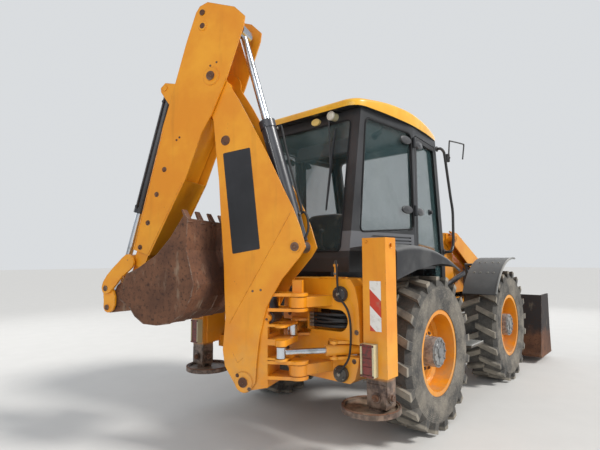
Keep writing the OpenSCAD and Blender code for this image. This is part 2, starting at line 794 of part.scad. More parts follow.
module carriage() {
    axis_x = -kingpost_back;
    half = 395;
    rail_gap = 3;
    back_x = -895 - rail_gap;
    outline = [[-300, 605], [-345, 640], [-376, 740], [-391, 880], [-391, 1100], [-380, 1240],
        [-352, 1350], [-310, 1405]];
    color("#e8a020") at_carriage() difference() {
        union() {
            difference() {
                across(-1100, back_x) polygon(concat(outline, [for (i = [7 : -1 : 0])
                    [-outline[i][0], outline[i][1]]]));
                block([-1080, 85 - half, 650], [-922, half - 85, 1320]);
                block([-923, -250, 760], [back_x + 1, 250, 1200]);
            }
            for (z = [[1373, 1405], [605, 637]])
                block([back_x - 1, -310, z[0]], [-812, 310, z[1]]);
            for (z = [[1330, 1374], [636, 680]])
                block([-827, -310, z[0]], [-812, 310, z[1]]);
            block([-1106, -225, 1404], [-1010, -15, 1415]);
            translate([-1062, -145, 1414]) cylinder(r = 11, h = 92);
            translate([-1062, -145, 1500]) cylinder(r = 19, h = 20);
            block([-1150, 66, 992], [-1099, 80, 1158]);
            for (z = [1190, 680])
                plan(z, z + 80) {
                    polygon([[-1099, -140], [-1099, 140], [axis_x, 60], [axis_x, -60]]);
                    translate([axis_x, 0]) circle(72);
                }
            for (i = [0, 1])
                for (z = [slew_z[i] - 70, slew_z[i] + 48])
                    plan(z, z + 22) {
                        translate([axis_x + slew_trunnion[i][0], slew_trunnion[i][1]]) circle(36);
                        polygon([[-1099, slew_trunnion[i][1] - 100], [-1099, slew_trunnion[i][1] + 100],
                            [axis_x + slew_trunnion[i][0], slew_trunnion[i][1] + 36],
                            [axis_x + slew_trunnion[i][0], slew_trunnion[i][1] - 36]]);
                    }
        }
        translate([axis_x, 0, 600]) cylinder(r = 35 + fit_gap, h = 800);
        for (i = [0, 1])
            translate([axis_x + slew_trunnion[i][0], slew_trunnion[i][1], slew_z[i] - 80])
                cylinder(r = 20 + fit_gap, h = 160);
        block([-1101, -half - 1, slew_z[0] - 48], [-890, -90, slew_z[0] + 48]);
        block([-1101, 90, slew_z[1] - 48], [-890, half + 1, slew_z[1] + 48]);
        across(-1107, -1079) {
            translate([-200, 990]) square([266, 170]);
            translate([-200, 1075]) circle(85);
        }
    }
}

module clamps_and_hoses() {
    hose_z = [1030, 1060, 1090, 1120];
    color("#1c1c1c") at_carriage() {
        for (y = [-230, 230])
            for (z = [1286, 677])
                translate([-1100.3, y, z]) rotate([0, -90, 0]) {
                    cylinder(r = 60, h = 42);
                    translate([0, 0, 41]) cylinder(r = 48, h = 10);
                    translate([0, 0, 50]) cylinder(r = 17, h = 14);
                }
        translate([-1130, 0, 0]) rotate([0, 0, 90])
            side_pipe([[-230, 1285], [-325, 1170], [-334, 1000], [-318, 820], [-230, 680]], 0, 9);
        for (z = hose_z)
            translate([0, 0, z]) rotate([-90, 0, 0])
                side_pipe([[-924.4, -280], [-1065, -258], [-1128, -150], [-1128, 65.7]], 0, 13);
    }
}

module kingpost() {
    half = 114;
    cheek_t = 32;
    wall_x = 205;
    eye = slew_eye_r * [cos(slew_eye_turn), sin(slew_eye_turn)];
    color("#e8a020") digger() {
        difference() {
            union() {
                for (z = [1275, 1160, 765, 650])
                    plan(z, z + 25) {
                        circle(80);
                        polygon([[0, -70], [wall_x + 1, -half], [wall_x + 1, half], [0, 70]]);
                    }
                for (z = [[796, 814], [907, 953], [1046, 1064]])
                    plan(z[0], z[1]) {
                        polygon([[eye[0] - 40, -eye[1]], [wall_x + 1, -half], [wall_x + 1, half],
                            [eye[0] - 40, eye[1]]]);
                        translate(eye) circle(45);
                        translate([eye[0], -eye[1]]) circle(45);
                    }
                for (y = [-half, half - cheek_t])
                    side(y, y + cheek_t) polygon([[wall_x, 590], [330, 560], [440, 545], [470, 600],
                        [450, 690], [330, 1150], [270, 1300], [wall_x, 1300]]);
                block([wall_x, -half, 590], [wall_x + 25, half, 985]);
                block([-40, -20, 1299], [40, 20, 1400]);
                cross_pin(boom_ram_base, -half + 1, half - 1, pin_r);
            }
            cross_pin(boom_foot, -200, 200, 40 + fit_gap);
            difference() {
                block([130, -81, 1033], [400, 81, 1310]);
                cross_pin(boom_ram_base, -half, half, pin_r);
            }
        }
        translate([0, 0, 1162]) cylinder(r = 35, h = 136);
        translate([0, 0, 652]) cylinder(r = 35, h = 136);
    }
}

// Places children at a slew ram's trunnion, Z along the ram towards the kingpost
module at_slew_ram(i) {
    e = slew_eye[i];
    t = slew_trunnion[i];
    machine() translate([-kingpost_back + t[0], carriage_y + t[1], slew_z[i]])
        rotate([0, 0, atan2(e[1] - t[1], e[0] - t[0])]) rotate([0, 90, 0]) children();
}

module slew_barrel(i) {
    color("#e8a020") at_slew_ram(i) difference() {
        union() {
            translate([0, 0, -slew_barrel_back[i]]) cylinder(r = 42, h = slew_barrel_back[i] + 70);
            rotate([0, 90, 0]) translate([0, 0, -66]) cylinder(r = 20, h = 132);
        }
        translate([0, 0, 8 - slew_barrel_back[i]]) cylinder(r = 22 + slide_gap, h = slew_barrel_back[i] + 80);
    }
}

module slew_rod(i) {
    l = length_of(slew_eye[i] - slew_trunnion[i]);
    color("#d8dce0") at_slew_ram(i) {
        translate([0, 0, l - 372]) cylinder(r = 22, h = 342);
        translate([-40, 0, l]) rotate([0, 90, 0]) cylinder(r = 38, h = 80);
    }
}

module slew_ram_barrel_right() {
    slew_barrel(0);
}

module slew_ram_rod_right() {
    slew_rod(0);
}

module slew_ram_barrel_left() {
    slew_barrel(1);
}

module slew_ram_rod_left() {
    slew_rod(1);
}

module boom() {
    in = boom_half_w - plate_t;
    outline = [[590, 3060], [462, 2860], [367, 2689], [207, 2393], [54, 2080], [-14, 1948], [-70, 1807],
        [-116, 1651], [-70, 1578], [81, 1406], [146, 1302], [210, 1188], [230, 1115], [262, 984],
        [287, 795], [300, 620], [343, 565], [392, 540], [450, 560], [497, 622], [568, 728], [588, 851],
        [574, 1010], [566, 1099], [577, 1302], [586, 1525], [616, 1886], [639, 2209], [669, 2437],
        [697, 2708], [800, 3000]];
    color("#e8a020") digger() difference() {
        union() {
            for (y = [-boom_half_w, in])
                side(y, y + plate_t) {
                    polygon(outline);
                    translate(boom_head) circle(125);
                }
            side(-boom_half_w + 1, boom_half_w - 1) polygon([[560, 1302], [577, 1302], [586, 1525],
                [596, 1640], [580, 1642], [570, 1526]]);
            for (y = [-boom_half_w - 10, boom_half_w - 1])
                cross_pin(boom_foot, y, y + 11, 76);
            cross_pin(boom_foot, -boom_half_w - 16, boom_half_w + 16, 40);
            for (y = [-boom_half_w - 6, boom_half_w - 1])
                cross_pin(dipper_ram_base, y, y + 7, 46);
            cross_pin(boom_head, -dipper_half_w - 14, dipper_half_w + 14, 40);
            cross_pin(dipper_ram_base, 1 - boom_half_w, boom_half_w - 1, pin_r);
        }
    }
}

module boom_hoses() {
    route = [[190, 1430], [78, 1650], [90, 1950], [590, 2940], [650, 2975]];
    beside_y = boom_half_w - plate_t - 15.3;
    color("#1c1c1c") digger() for (s = [-1, 1])
        for (i = [0, 1])
            side_pipe([for (p = route) [p[0] + i * 36, p[1] - i * 14]], s * beside_y, 12);
}

module boom_ram_barrel() {
    color("#2a2a2a") digger() ram_barrel(boom_ram_base, boom_ram_eye, 0, boom_ram_r, 34,
        1300, 150, pin_r, 280);
}

module boom_ram_rod() {
    color("#d8dce0") digger() ram_rod(boom_ram_base, boom_ram_eye, 0, 34, 125, 58, 150);
}

module dipper_ram_barrel() {
    color("#2a2a2a") digger() ram_barrel(dipper_ram_base, dipper_ram_eye, 0, dipper_ram_r, 34,
        1080, 150, pin_r, 95);
}

module dipper_ram_rod() {
    color("#d8dce0") digger() ram_rod(dipper_ram_base, dipper_ram_eye, 0, 34, 850, 58, 150);
}

module dipper() {
    in = dipper_half_w - plate_t;
    outline = [[870, 3676], [832, 3724], [755, 3745], [492, 3646], [398, 3550], [407, 3476], [559, 3069],
        [626, 2927], [704, 2764], [802, 2611], [850, 2488], [956, 2232], [1315, 1595], [1494, 1652],
        [1355, 2083], [1198, 2713], [1123, 2932], [959, 3442]];
    color("#e8a020") digger() difference() {
        union() {
            for (y = [-dipper_half_w, in])
                side(y, y + plate_t) polygon(outline);
            side(-dipper_half_w + 1, dipper_half_w - 1) {
                bar_2d([970, 2230], [1325, 1605], 15);
                bar_2d([1485, 1652], [1190, 2700], 15);
            }
            for (y = [-84, 64])
                side(y, y + 20) polygon([[1100, 2960], [1170, 2900], [1285, 3060], [1290, 3100],
                    [1240, 3140], [1060, 3100]]);
            cross_pin(bucket_ram_base, -92, 92, 25);
            side(-dipper_half_w + 1, dipper_half_w - 1) bar_2d([1115, 2932], [960, 3420], 15);
            for (y = [-dipper_half_w - 8, dipper_half_w - 1])
                for (p = [boom_head, [801, 3542]])
                    cross_pin(p, y, y + 9, p == boom_head ? 74 : 40);
        }
        cross_pin(boom_head, -200, 200, 40 + fit_gap);
    }
}

module dipper_extension() {
    w = dipper_half_w - plate_t - 6;
    nose_w = 100;
    color("#202020") digger() difference() {
        union() {
            side(-w, w) polygon([on_dipper(-1300, -70), on_dipper(-1300, 60), on_dipper(60, 60),
                on_dipper(130, 60), on_dipper(130, -70)]);
            side(-nose_w, nose_w) {
                polygon([on_dipper(129, -70), on_dipper(129, 60), on_dipper(330, 60), on_dipper(400, 140),
                    on_dipper(470, 60), on_dipper(440, -10), on_dipper(300, -60)]);
                translate(nose_pivot) circle(68);
            }
            cross_pin(lever_pivot, -160, 160, 48);
        }
        cross_pin(nose_pivot, -300, 300, pin_r + fit_gap);
        cross_pin(lever_pivot, -300, 300, 25 + fit_gap);
    }
}

module bucket_ram_barrel() {
    color("#2a2a2a") digger() ram_barrel(bucket_ram_base, lever_end, 0, bucket_ram_r, 30,
        1150, 78, 25, 95);
}

module bucket_ram_rod() {
    color("#d8dce0") digger() ram_rod(bucket_ram_base, lever_end, 0, 30, 340, 48, 100);
}

module tipping_lever() {
    w = 165;
    lever_shape = [[-50, 0], [-42, 30], [-18, 50], [40, 60], [85, 62], [163, 70], [259, 72], [331, 60],
        [376, 36], [396, 0], [388, -30], [362, -50], [320, -58], [243, -60], [192, -57], [138, -58],
        [65, -72], [8, -80], [-28, -62], [-46, -30]];
    color("#e8a020") digger() {
        difference() {
            for (y = [-w - 20, w])
                side(y, y + 20) {
                    polygon([for (p = lever_shape) beside(lever_pivot, lever_end, p[0], p[1])]);
                }
            cross_pin(lever_end, -300, 300, 25 + fit_gap);
        }
        cross_pin(lever_pivot, -w - 10, w + 10, 25);
    }
}

module tipping_link() {
    w = 142;
    link_shape = [[-48, 0], [-40, 28], [-18, 46], [60, 46], [120, 42], [168, 46], [200, 30], [214, 0],
        [212, -30], [190, -62], [150, -82], [80, -86], [30, -72], [-5, -52], [-36, -32]];
    color("#e8a020") digger() {
        for (y = [-w - 20, w])
            side(y, y + 20) {
                polygon([for (p = link_shape) beside(lever_end, link_end, p[0], p[1])]);
            }
        for (y = [-w - 40, w + 1])
            cross_pin(lever_end, y, y + 39, 25);
        for (y = [-w - 26, w - 12])
            cross_pin(link_end, y, y + 38, 25);
    }
}

module digging_bucket() {
    outline = [[790, 1915], [925, 1730], [1052, 1600], [1232, 1495], [1351, 1447], [1392, 1365],
        [1413, 1242], [1307, 1179], [1254, 1114], [1168, 1059], [1037, 1053], [910, 1072], [787, 1153],
        [728, 1262], [700, 1370], [732, 1496], [773, 1637], [762, 1880]];
    shell = [[1392, 1365], [1413, 1242], [1307, 1179], [1254, 1114], [1168, 1059], [1037, 1053],
        [910, 1072], [787, 1153], [728, 1262], [700, 1370], [732, 1496], [773, 1637], [762, 1880],
        [782, 1880], [793, 1637], [752, 1494], [721, 1372], [748, 1270], [800, 1170], [916, 1092],
        [1037, 1074], [1161, 1080], [1238, 1127], [1294, 1195], [1391, 1252], [1373, 1360]];
    wall = 20;
    color("#6a4028") digger() {
        for (y = [-dig_half_w, dig_half_w - wall])
            side(y, y + wall) polygon(outline);
        side(1 - dig_half_w, dig_half_w - 1) polygon(shell);
        for (y = [-1, -0.5, 0, 0.5, 1])
            side(y * (dig_half_w - 40) - 30, y * (dig_half_w - 40) + 30)
                polygon([[757, 1850], [787, 1850], [828, 1946], [818, 1952]]);
        for (y = [-127, 107])
            difference() {
                side(y, y + 20) {
                    polygon([[1385, 1362], nose_pivot + [-10, 60], nose_pivot + [55, 20],
                        link_end + [52, 20], link_end + [10, -52], [1520, 1120], [1405, 1236]]);
                    translate(link_end) circle(50);
                    translate(nose_pivot) circle(60);
                }
                cross_pin(link_end, -200, 200, 25 + fit_gap);
            }
        cross_pin(nose_pivot, -126, 126, pin_r);
    }
}

chassis_frame();
engine_and_gearbox();
bonnet();
nose_grille();
cab_frame();
cab_roof();
cab_glass();
door_left();
door_right();
operator_seat();
controls();
rear_mudguards();
side_tanks();
handrails();
lamps();
axle_front();
axle_rear();
knuckle_front_left();
knuckle_front_right();
knuckle_rear_left();
knuckle_rear_right();
mudguard_front_left();
mudguard_front_right();
rim_front_left();
rim_front_right();
rim_rear_left();
rim_rear_right();
tyre_front_left();
tyre_front_right();
tyre_rear_left();
tyre_rear_right();
loader_arms();
loader_bucket();
lift_ram_barrels();
lift_ram_rods();
tilt_ram_barrels();
tilt_ram_rods();
rear_frame();
stabiliser_left();
stabiliser_right();
carriage();
clamps_and_hoses();
kingpost();
slew_ram_barrel_right();
slew_ram_rod_right();
slew_ram_barrel_left();
slew_ram_rod_left();
boom();
boom_hoses();
boom_ram_barrel();
boom_ram_rod();
dipper_ram_barrel();
dipper_ram_rod();
dipper();
dipper_extension();
bucket_ram_barrel();
bucket_ram_rod();
tipping_lever();
tipping_link();
digging_bucket();
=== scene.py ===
"""Dressed model of a backhoe loader with four equal wheels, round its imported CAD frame.

Places are in metres. X is forward, Y to the machine's left and Z up, as in the frame.
"""

import json
import logging
import math
from dataclasses import dataclass
from enum import Enum
from typing import Callable, Iterable, Optional, Protocol, Sequence, Union

import bpy
from mathutils import Matrix, Vector

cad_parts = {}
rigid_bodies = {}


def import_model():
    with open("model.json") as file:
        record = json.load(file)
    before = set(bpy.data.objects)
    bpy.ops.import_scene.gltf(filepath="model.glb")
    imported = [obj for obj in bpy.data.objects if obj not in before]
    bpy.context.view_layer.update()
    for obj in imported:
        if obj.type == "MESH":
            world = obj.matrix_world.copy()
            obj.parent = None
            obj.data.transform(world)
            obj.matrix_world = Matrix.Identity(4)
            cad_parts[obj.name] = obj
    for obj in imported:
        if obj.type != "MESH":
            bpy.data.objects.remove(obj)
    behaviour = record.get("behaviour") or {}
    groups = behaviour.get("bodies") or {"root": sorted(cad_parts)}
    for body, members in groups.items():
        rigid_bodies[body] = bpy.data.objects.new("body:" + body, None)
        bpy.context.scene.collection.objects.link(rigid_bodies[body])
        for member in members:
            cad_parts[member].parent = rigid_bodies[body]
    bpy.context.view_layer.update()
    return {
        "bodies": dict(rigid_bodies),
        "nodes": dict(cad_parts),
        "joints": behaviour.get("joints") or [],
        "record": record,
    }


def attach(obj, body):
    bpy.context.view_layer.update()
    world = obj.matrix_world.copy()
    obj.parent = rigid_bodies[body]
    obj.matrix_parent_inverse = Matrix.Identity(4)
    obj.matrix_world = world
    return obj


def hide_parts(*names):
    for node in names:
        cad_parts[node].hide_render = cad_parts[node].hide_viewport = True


LOG = logging.getLogger("backhoe")
Point = Sequence[float]
Colour = tuple[float, float, float]
Number = Union["Signal", float]
Tint = Callable[["Shader", "Signal"], "Signal"]

REAR_AXLE_X = -0.950
FRONT_AXLE_X = REAR_AXLE_X + 2.217
AXLE_Z = 0.700
KINGPOST = Vector((REAR_AXLE_X - 1.360, -0.555, 0.0))
DIGGER_TURN = math.radians(109.0)
SIDES = ((1, "left"), (-1, "right"))
BACK, OUT, UP = (-1, 0, 0), (0, 1, 0), (0, 0, 1)


def place(x: float, y: float, z: float) -> Vector:
    """Point given from the middle of the rear axle on the ground."""
    return Vector((x + REAR_AXLE_X, y, z))


def places(points: Iterable[Point]) -> list[Vector]:
    """Several such points."""
    return [place(*p) for p in points]


def on_digger(u: float, n: float, z: float) -> Vector:
    """Point given out along the boom from the slew axis, towards its right, and up.

    Args:
        u: Metres out along the boom.
        n: Metres towards the boom's right.
        z: Height.

    Returns:
        The point.
    """
    turn = Matrix.Rotation(DIGGER_TURN, 3, "Z")
    return KINGPOST + turn @ Vector((u, n, z))


def side_of_digger(side: int) -> Vector:
    """Direction of the boom's right for 1, or left for -1."""
    return on_digger(0, side, 0) - on_digger(0, 0, 0)


def circle(count: int, first: float = 0.0, step: float = 0.0) -> list[tuple[float, float]]:
    """Cosine and sine at even angles.

    Args:
        count: How many.
        first: The first angle, in degrees.
        step: Degrees between them, or 0 for a full turn in all.

    Returns:
        The pairs.
    """
    angles = [math.radians(first + (step or 360 / count) * k) for k in range(count)]
    return [(math.cos(a), math.sin(a)) for a in angles]


class Slot(Enum):
    """The record's material slots."""

    YELLOW = "yellow"
    BLACK = "black"
    RIMS = "rims"
    TYRES = "tyres"
    GLASS = "glass"
    PLASTIC = "plastic"
    CHROME = "chrome"
    WORN = "worn"
    SEAT = "seat"
    LAMP = "lamp"


class Finish(Protocol):
    """What a piece is painted with."""

    name: str

    def make(self) -> bpy.types.Material:
        """Builds the material."""


# ---- shader expressions


class Signal:
    """A socket that gives a number, colour or vector, with arithmetic for numbers."""

    def __init__(self, shader: "Shader", socket: bpy.types.NodeSocket) -> None:
        """Wraps one output socket of a shader."""
        self.shader = shader
        self.socket = socket

    def _math(self, operation: str, *values: Number) -> "Signal":
        """Adds a Math node of an operation on values."""
        node = self.shader.node("ShaderNodeMath", {"operation": operation}, dict(enumerate(values)))
        return Signal(self.shader, node.outputs[0])

    def __add__(self, other: Number) -> "Signal":
        """Sum."""
        return self._math("ADD", self, other)

    __radd__ = __add__

    def __mul__(self, other: Number) -> "Signal":
        """Product."""
        return self._math("MULTIPLY", self, other)

    __rmul__ = __mul__

    def __sub__(self, other: Number) -> "Signal":
        """Difference."""
        return self._math("SUBTRACT", self, other)

    def __rsub__(self, other: Number) -> "Signal":
        """Difference from the other."""
        return self._math("SUBTRACT", other, self)

    def __truediv__(self, other: Number) -> "Signal":
        """Quotient."""
        return self._math("DIVIDE", self, other)

    def __pow__(self, other: float) -> "Signal":
        """Power."""
        return self._math("POWER", self, other)

    def above(self, level: float) -> "Signal":
        """1 where the signal is over a level, and 0 elsewhere."""
        return self._math("GREATER_THAN", self, level)

    def either(self, other: "Signal") -> "Signal":
        """The larger of two signals."""
        return self._math("MAXIMUM", self, other)

    def size(self) -> "Signal":
        """The signal without its sign."""
        return self._math("ABSOLUTE", self)

    def ramp(self, low: float, high: float) -> "Signal":
        """Smooth step from 0 at low to 1 at high.

        Args:
            low: Where the step starts.
            high: Where it ends.

        Returns:
            The step.
        """
        node = self.shader.node(
            "ShaderNodeMapRange",
            {"interpolation_type": "SMOOTHSTEP"},
            {"Value": self, "From Min": low, "From Max": high, "To Min": 0.0, "To Max": 1.0},
        )
        return Signal(self.shader, node.outputs[0])


class Shader:
    """One material and the nodes that are added to it."""

    def __init__(self, name: str, metallic: float = 0.0, coat: float = 0.0) -> None:
        """Makes a material with one Principled shader."""
        self.material = bpy.data.materials.new(name)
        self.material.use_nodes = True
        self.tree = self.material.node_tree
        self.surface = self.tree.nodes["Principled BSDF"]
        self.surface.inputs["Metallic"].default_value = metallic
        self.surface.inputs["Coat Weight"].default_value = coat
        self._coords = self.tree.nodes.new("ShaderNodeTexCoord")
        self._split: Optional[bpy.types.Node] = None

    def node(self, kind: str, settings: dict, sockets: dict) -> bpy.types.Node:
        """Adds a node.

        Args:
            kind: The node's type.
            settings: Its attributes, set first.
            sockets: Values or signals by input name or index.

        Returns:
            The node.
        """
        made = self.tree.nodes.new(kind)
        for key, value in settings.items():
            setattr(made, key, value)
        for key, value in sockets.items():
            if isinstance(value, Signal):
                self.tree.links.new(value.socket, made.inputs[key])
            else:
                made.inputs[key].default_value = value
        return made

    def where(self) -> Signal:
        """Object coordinates."""
        return Signal(self, self._coords.outputs["Object"])

    def axis(self, index: int) -> Signal:
        """One of the object coordinates."""
        if self._split is None:
            self._split = self.node("ShaderNodeSeparateXYZ", {}, {0: self.where()})
        return Signal(self, self._split.outputs[index])

    def from_axle(self, x: float) -> Signal:
        """Distance from the middle line of an axle."""
        across, up = self.axis(0) - x, self.axis(2) - AXLE_Z
        return (across * across + up * up) ** 0.5

    def upward(self) -> Signal:
        """How far the surface faces up, from -1 to 1."""
        split = self.node("ShaderNodeSeparateXYZ", {}, {0: Signal(self, self._coords.outputs["Normal"])})
        return Signal(self, split.outputs[2])

    def noise(self, scale: float, detail: float = 3.0, stretch: Optional[Point] = None) -> Signal:
        """Noise on object coordinates.

        Args:
            scale: Features a metre.
            detail: Octaves.
            stretch: Factors on the coordinates.

        Returns:
            The noise, about 0.5.
        """
        vector = self.where()
        if stretch:
            scaled = self.node("ShaderNodeVectorMath", {"operation": "MULTIPLY"}, {0: vector, 1: stretch})
            vector = Signal(self, scaled.outputs[0])
        sockets = {"Vector": vector, "Scale": scale, "Detail": detail, "Roughness": 0.6}
        return Signal(self, self.node("ShaderNodeTexNoise", {}, sockets).outputs[0])

    def cells(self, scale: float) -> Signal:
        """Distance to the nearest of scattered points."""
        sockets = {"Vector": self.where(), "Scale": scale}
        return Signal(self, self.node("ShaderNodeTexVoronoi", {}, sockets).outputs["Distance"])

    def edges(self, radius: float) -> Signal:
        """1 on the solid's edges, within a radius, and 0 on its flat faces.

        Args:
            radius: How wide the band on an edge is.

        Returns:
            The mask.
        """
        soft = self.node("ShaderNodeBevel", {"samples": 4}, {"Radius": radius})
        true = self.node("ShaderNodeNewGeometry", {}, {})
        dot = self.node(
            "ShaderNodeVectorMath",
            {"operation": "DOT_PRODUCT"},
            {0: Signal(self, soft.outputs[0]), 1: Signal(self, true.outputs["Normal"])},
        )
        return (1.0 - Signal(self, dot.outputs["Value"])).ramp(0.02, 0.22)

    def mix(self, factor: Signal, first: Union[Signal, Point], second: Union[Signal, Point]) -> Signal:
        """Blend of two colours.

        Args:
            factor: Share of the second.
            first: First colour.
            second: Second colour.

        Returns:
            The blend.
        """
        rgba = [c if isinstance(c, Signal) else (*c, 1.0) for c in (first, second)]
        node = self.node("ShaderNodeMix", {"data_type": "RGBA"}, {0: factor, 6: rgba[0], 7: rgba[1]})
        return Signal(self, node.outputs[2])

    def bump(self, height: Signal, strength: float, distance: float, rounding: float = 0.0) -> Signal:
        """Normal of a height map.

        Args:
            height: The height.
            strength: Share of the effect.
            distance: Height of 1, in metres.
            rounding: Radius that softens the solid's edges.

        Returns:
            The normal.
        """
        sockets = {"Height": height, "Strength": strength, "Distance": distance}
        if rounding:
            soft = self.node("ShaderNodeBevel", {"samples": 4}, {"Radius": rounding})
            sockets["Normal"] = Signal(self, soft.outputs[0])
        return Signal(self, self.node("ShaderNodeBump", {}, sockets).outputs[0])

    def out(self, **sockets: Union[Signal, float, Point]) -> bpy.types.Material:
        """Feeds the surface's sockets, named with _ for a space.

        Returns:
            The finished material.
        """
        for key, value in sockets.items():
            target = self.surface.inputs[key.replace("_", " ")]
            if isinstance(value, Signal):
                self.tree.links.new(value.socket, target)
            else:
                target.default_value = value
        return self.material


def linear(red: int, green: int, blue: int) -> Colour:
    """Colour from screen values up to 255.

    Args:
        red: Red.
        green: Green.
        blue: Blue.

    Returns:
        The linear colour.
    """
    parts = [c / 255 for c in (red, green, blue)]
    made = [c / 12.92 if c <= 0.04045 else ((c + 0.055) / 1.055) ** 2.4 for c in parts]
    return (made[0], made[1], made[2])


DUST = linear(150, 136, 116)
RUST = linear(104, 62, 38)
DARK_RUST = linear(58, 38, 28)


@dataclass(frozen=True)
class Enamel:
    """Sprayed machine enamel, faded by the sun, scuffed on its edges and dusty low down."""

    name: str
    colour: Colour
    faded: Colour
    under: Colour = DARK_RUST
    rough: float = 0.34
    wear: float = 0.6
    dust: float = 0.5
    rounding: float = 0.006
    extra: Optional[Tint] = None

    def make(self) -> bpy.types.Material:
        """Builds the material."""
        s = Shader(self.name, coat=0.25)
        s.surface.inputs["Coat Roughness"].default_value = 0.18
        broad = s.noise(2.3, 4.0)
        fine = s.noise(46.0, 5.0)
        colour = s.mix(broad.ramp(0.35, 0.7), self.colour, self.faded)
        streak = s.noise(9.0, 4.0, (1.0, 1.0, 0.12)).ramp(0.52, 0.75) * 0.22
        colour = s.mix(streak, colour, tuple(c * 0.45 for c in self.colour))
        if self.extra:
            colour = self.extra(s, colour)
        low = 1.0 - s.axis(2).ramp(0.35, 1.35)
        dusty = (low * 0.65 + s.upward().ramp(0.3, 0.9) * 0.35) * s.noise(6.0, 5.0).ramp(0.35, 0.7)
        dusty = dusty * self.dust
        colour = s.mix(dusty, colour, DUST)
        chips = (s.edges(0.008) * s.noise(30.0, 4.0).ramp(0.46, 0.62)) * self.wear
        spots = (1.0 - s.cells(14.0).ramp(0.03, 0.07)) * s.noise(3.0, 2.0).ramp(0.5, 0.62) * self.wear
        worn = chips.either(spots)
        colour = s.mix(worn, colour, self.under)
        rough = fine * 0.12 + dusty * 0.35 + worn * 0.25 + self.rough
        height = fine * 0.25 - worn * 0.8
        return s.out(Base_Color=colour, Roughness=rough, Normal=s.bump(height, 0.35, 0.0012, self.rounding))


@dataclass(frozen=True)
class WornSteel:
    """Bare digging steel: rust brown, scraped bright on its edges and streaked with dry earth."""

    name: str
    colour: Colour = linear(80, 52, 38)
    second: Colour = linear(116, 78, 55)
    bright: Colour = linear(150, 138, 126)
    scrape: float = 0.7
    extra: Optional[Tint] = None

    def make(self) -> bpy.types.Material:
        """Builds the material."""
        s = Shader(self.name)
        broad = s.noise(3.2, 6.0)
        grain = s.noise(38.0, 8.0)
        colour = s.mix(broad.ramp(0.32, 0.68), self.colour, self.second)
        if self.extra:
            colour = self.extra(s, colour)
        colour = s.mix(grain.ramp(0.5, 0.72), colour, DARK_RUST)
        colour = s.mix(s.noise(11.0, 6.0, (1.0, 1.0, 0.35)).ramp(0.56, 0.76) * 0.5, colour, DUST)
        scraped = s.edges(0.014) * s.noise(12.0, 4.0).ramp(0.42, 0.6) * self.scrape
        colour = s.mix(scraped, colour, self.bright)
        rough = 0.86 - scraped * 0.4
        height = grain + s.cells(60.0) * 0.4
        normal = s.bump(height, 0.6, 0.003, 0.004)
        return s.out(Base_Color=colour, Metallic=scraped * 0.8, Roughness=rough, Normal=normal)


@dataclass(frozen=True)
class Rubber:
    """Tyre rubber, dusty on the side walls and between the lugs."""

    name: str
    colour: Colour = linear(62, 62, 62)
    dusty: Colour = linear(158, 150, 136)
    axle_x: float = 0.0
    amount: float = 0.75
    bump: float = 0.004

    def make(self) -> bpy.types.Material:
        """Builds the material, with the side wall's rings and the dusty tread by radius."""
        s = Shader(self.name)
        grain = s.noise(60.0, 6.0)
        patches = s.noise(5.0, 6.0)
        radius = s.from_axle(self.axle_x)
        wall = 1.0 - radius.ramp(0.585, 0.60)
        tread = radius.ramp(0.650, 0.675)
        groove = radius.ramp(0.600, 0.612) * (1.0 - tread)
        rings = s.node("ShaderNodeMath", {"operation": "SINE"}, {0: radius * 420.0})
        bands = radius.ramp(0.545, 0.55) + (1.0 - radius.ramp(0.425, 0.43))
        ridge = Signal(s, rings.outputs[0]) * wall * bands
        dusty = (patches.ramp(0.3, 0.72) * 0.7 + grain.ramp(0.45, 0.7) * 0.3) * self.amount
        dusty = dusty.either(tread * patches.ramp(0.2, 0.6) * 0.85) * (1.0 - groove * 0.55)
        worn = s.edges(0.010) * 0.45
        colour = s.mix(dusty.either(worn), self.colour, self.dusty)
        height = grain + patches + ridge * 0.5
        return s.out(Base_Color=colour, Roughness=0.9, Normal=s.bump(height, 0.5, self.bump, 0.006))


@dataclass(frozen=True)
class Plastic:
    """Moulded plastic with a fine grain, greyed by the sun where it faces up."""

    name: str
    colour: Colour = linear(44, 46, 50)
    grey: Colour = linear(112, 112, 112)
    aged: float = 0.55
    rough: float = 0.5

    def make(self) -> bpy.types.Material:
        """Builds the material."""
        s = Shader(self.name)
        grain = s.noise(320.0, 3.0)
        patches = s.noise(4.0, 5.0)
        aged = (s.upward().ramp(0.0, 0.9) * 0.7 + patches.ramp(0.4, 0.7) * 0.3) * self.aged
        colour = s.mix(aged, self.colour, self.grey)
        colour = s.mix(s.edges(0.006) * 0.25, colour, self.grey)
        rough = patches * 0.2 + self.rough
        return s.out(Base_Color=colour, Roughness=rough, Normal=s.bump(grain, 0.25, 0.0006, 0.006))


@dataclass(frozen=True)
class Chrome:
    """Hard chrome plate with fine polishing marks along its length."""

    name: str = "hard_chrome"

    def make(self) -> bpy.types.Material:
        """Builds the material."""
        s = Shader(self.name, metallic=1.0)
        marks = s.noise(26.0, 2.0)
        smear = s.noise(7.0, 4.0)
        colour = s.mix(smear.ramp(0.5, 0.75), linear(205, 210, 216), linear(160, 158, 152))
        return s.out(Base_Color=colour, Roughness=smear * 0.14 + 0.16, Normal=s.bump(marks, 0.04, 0.0006))


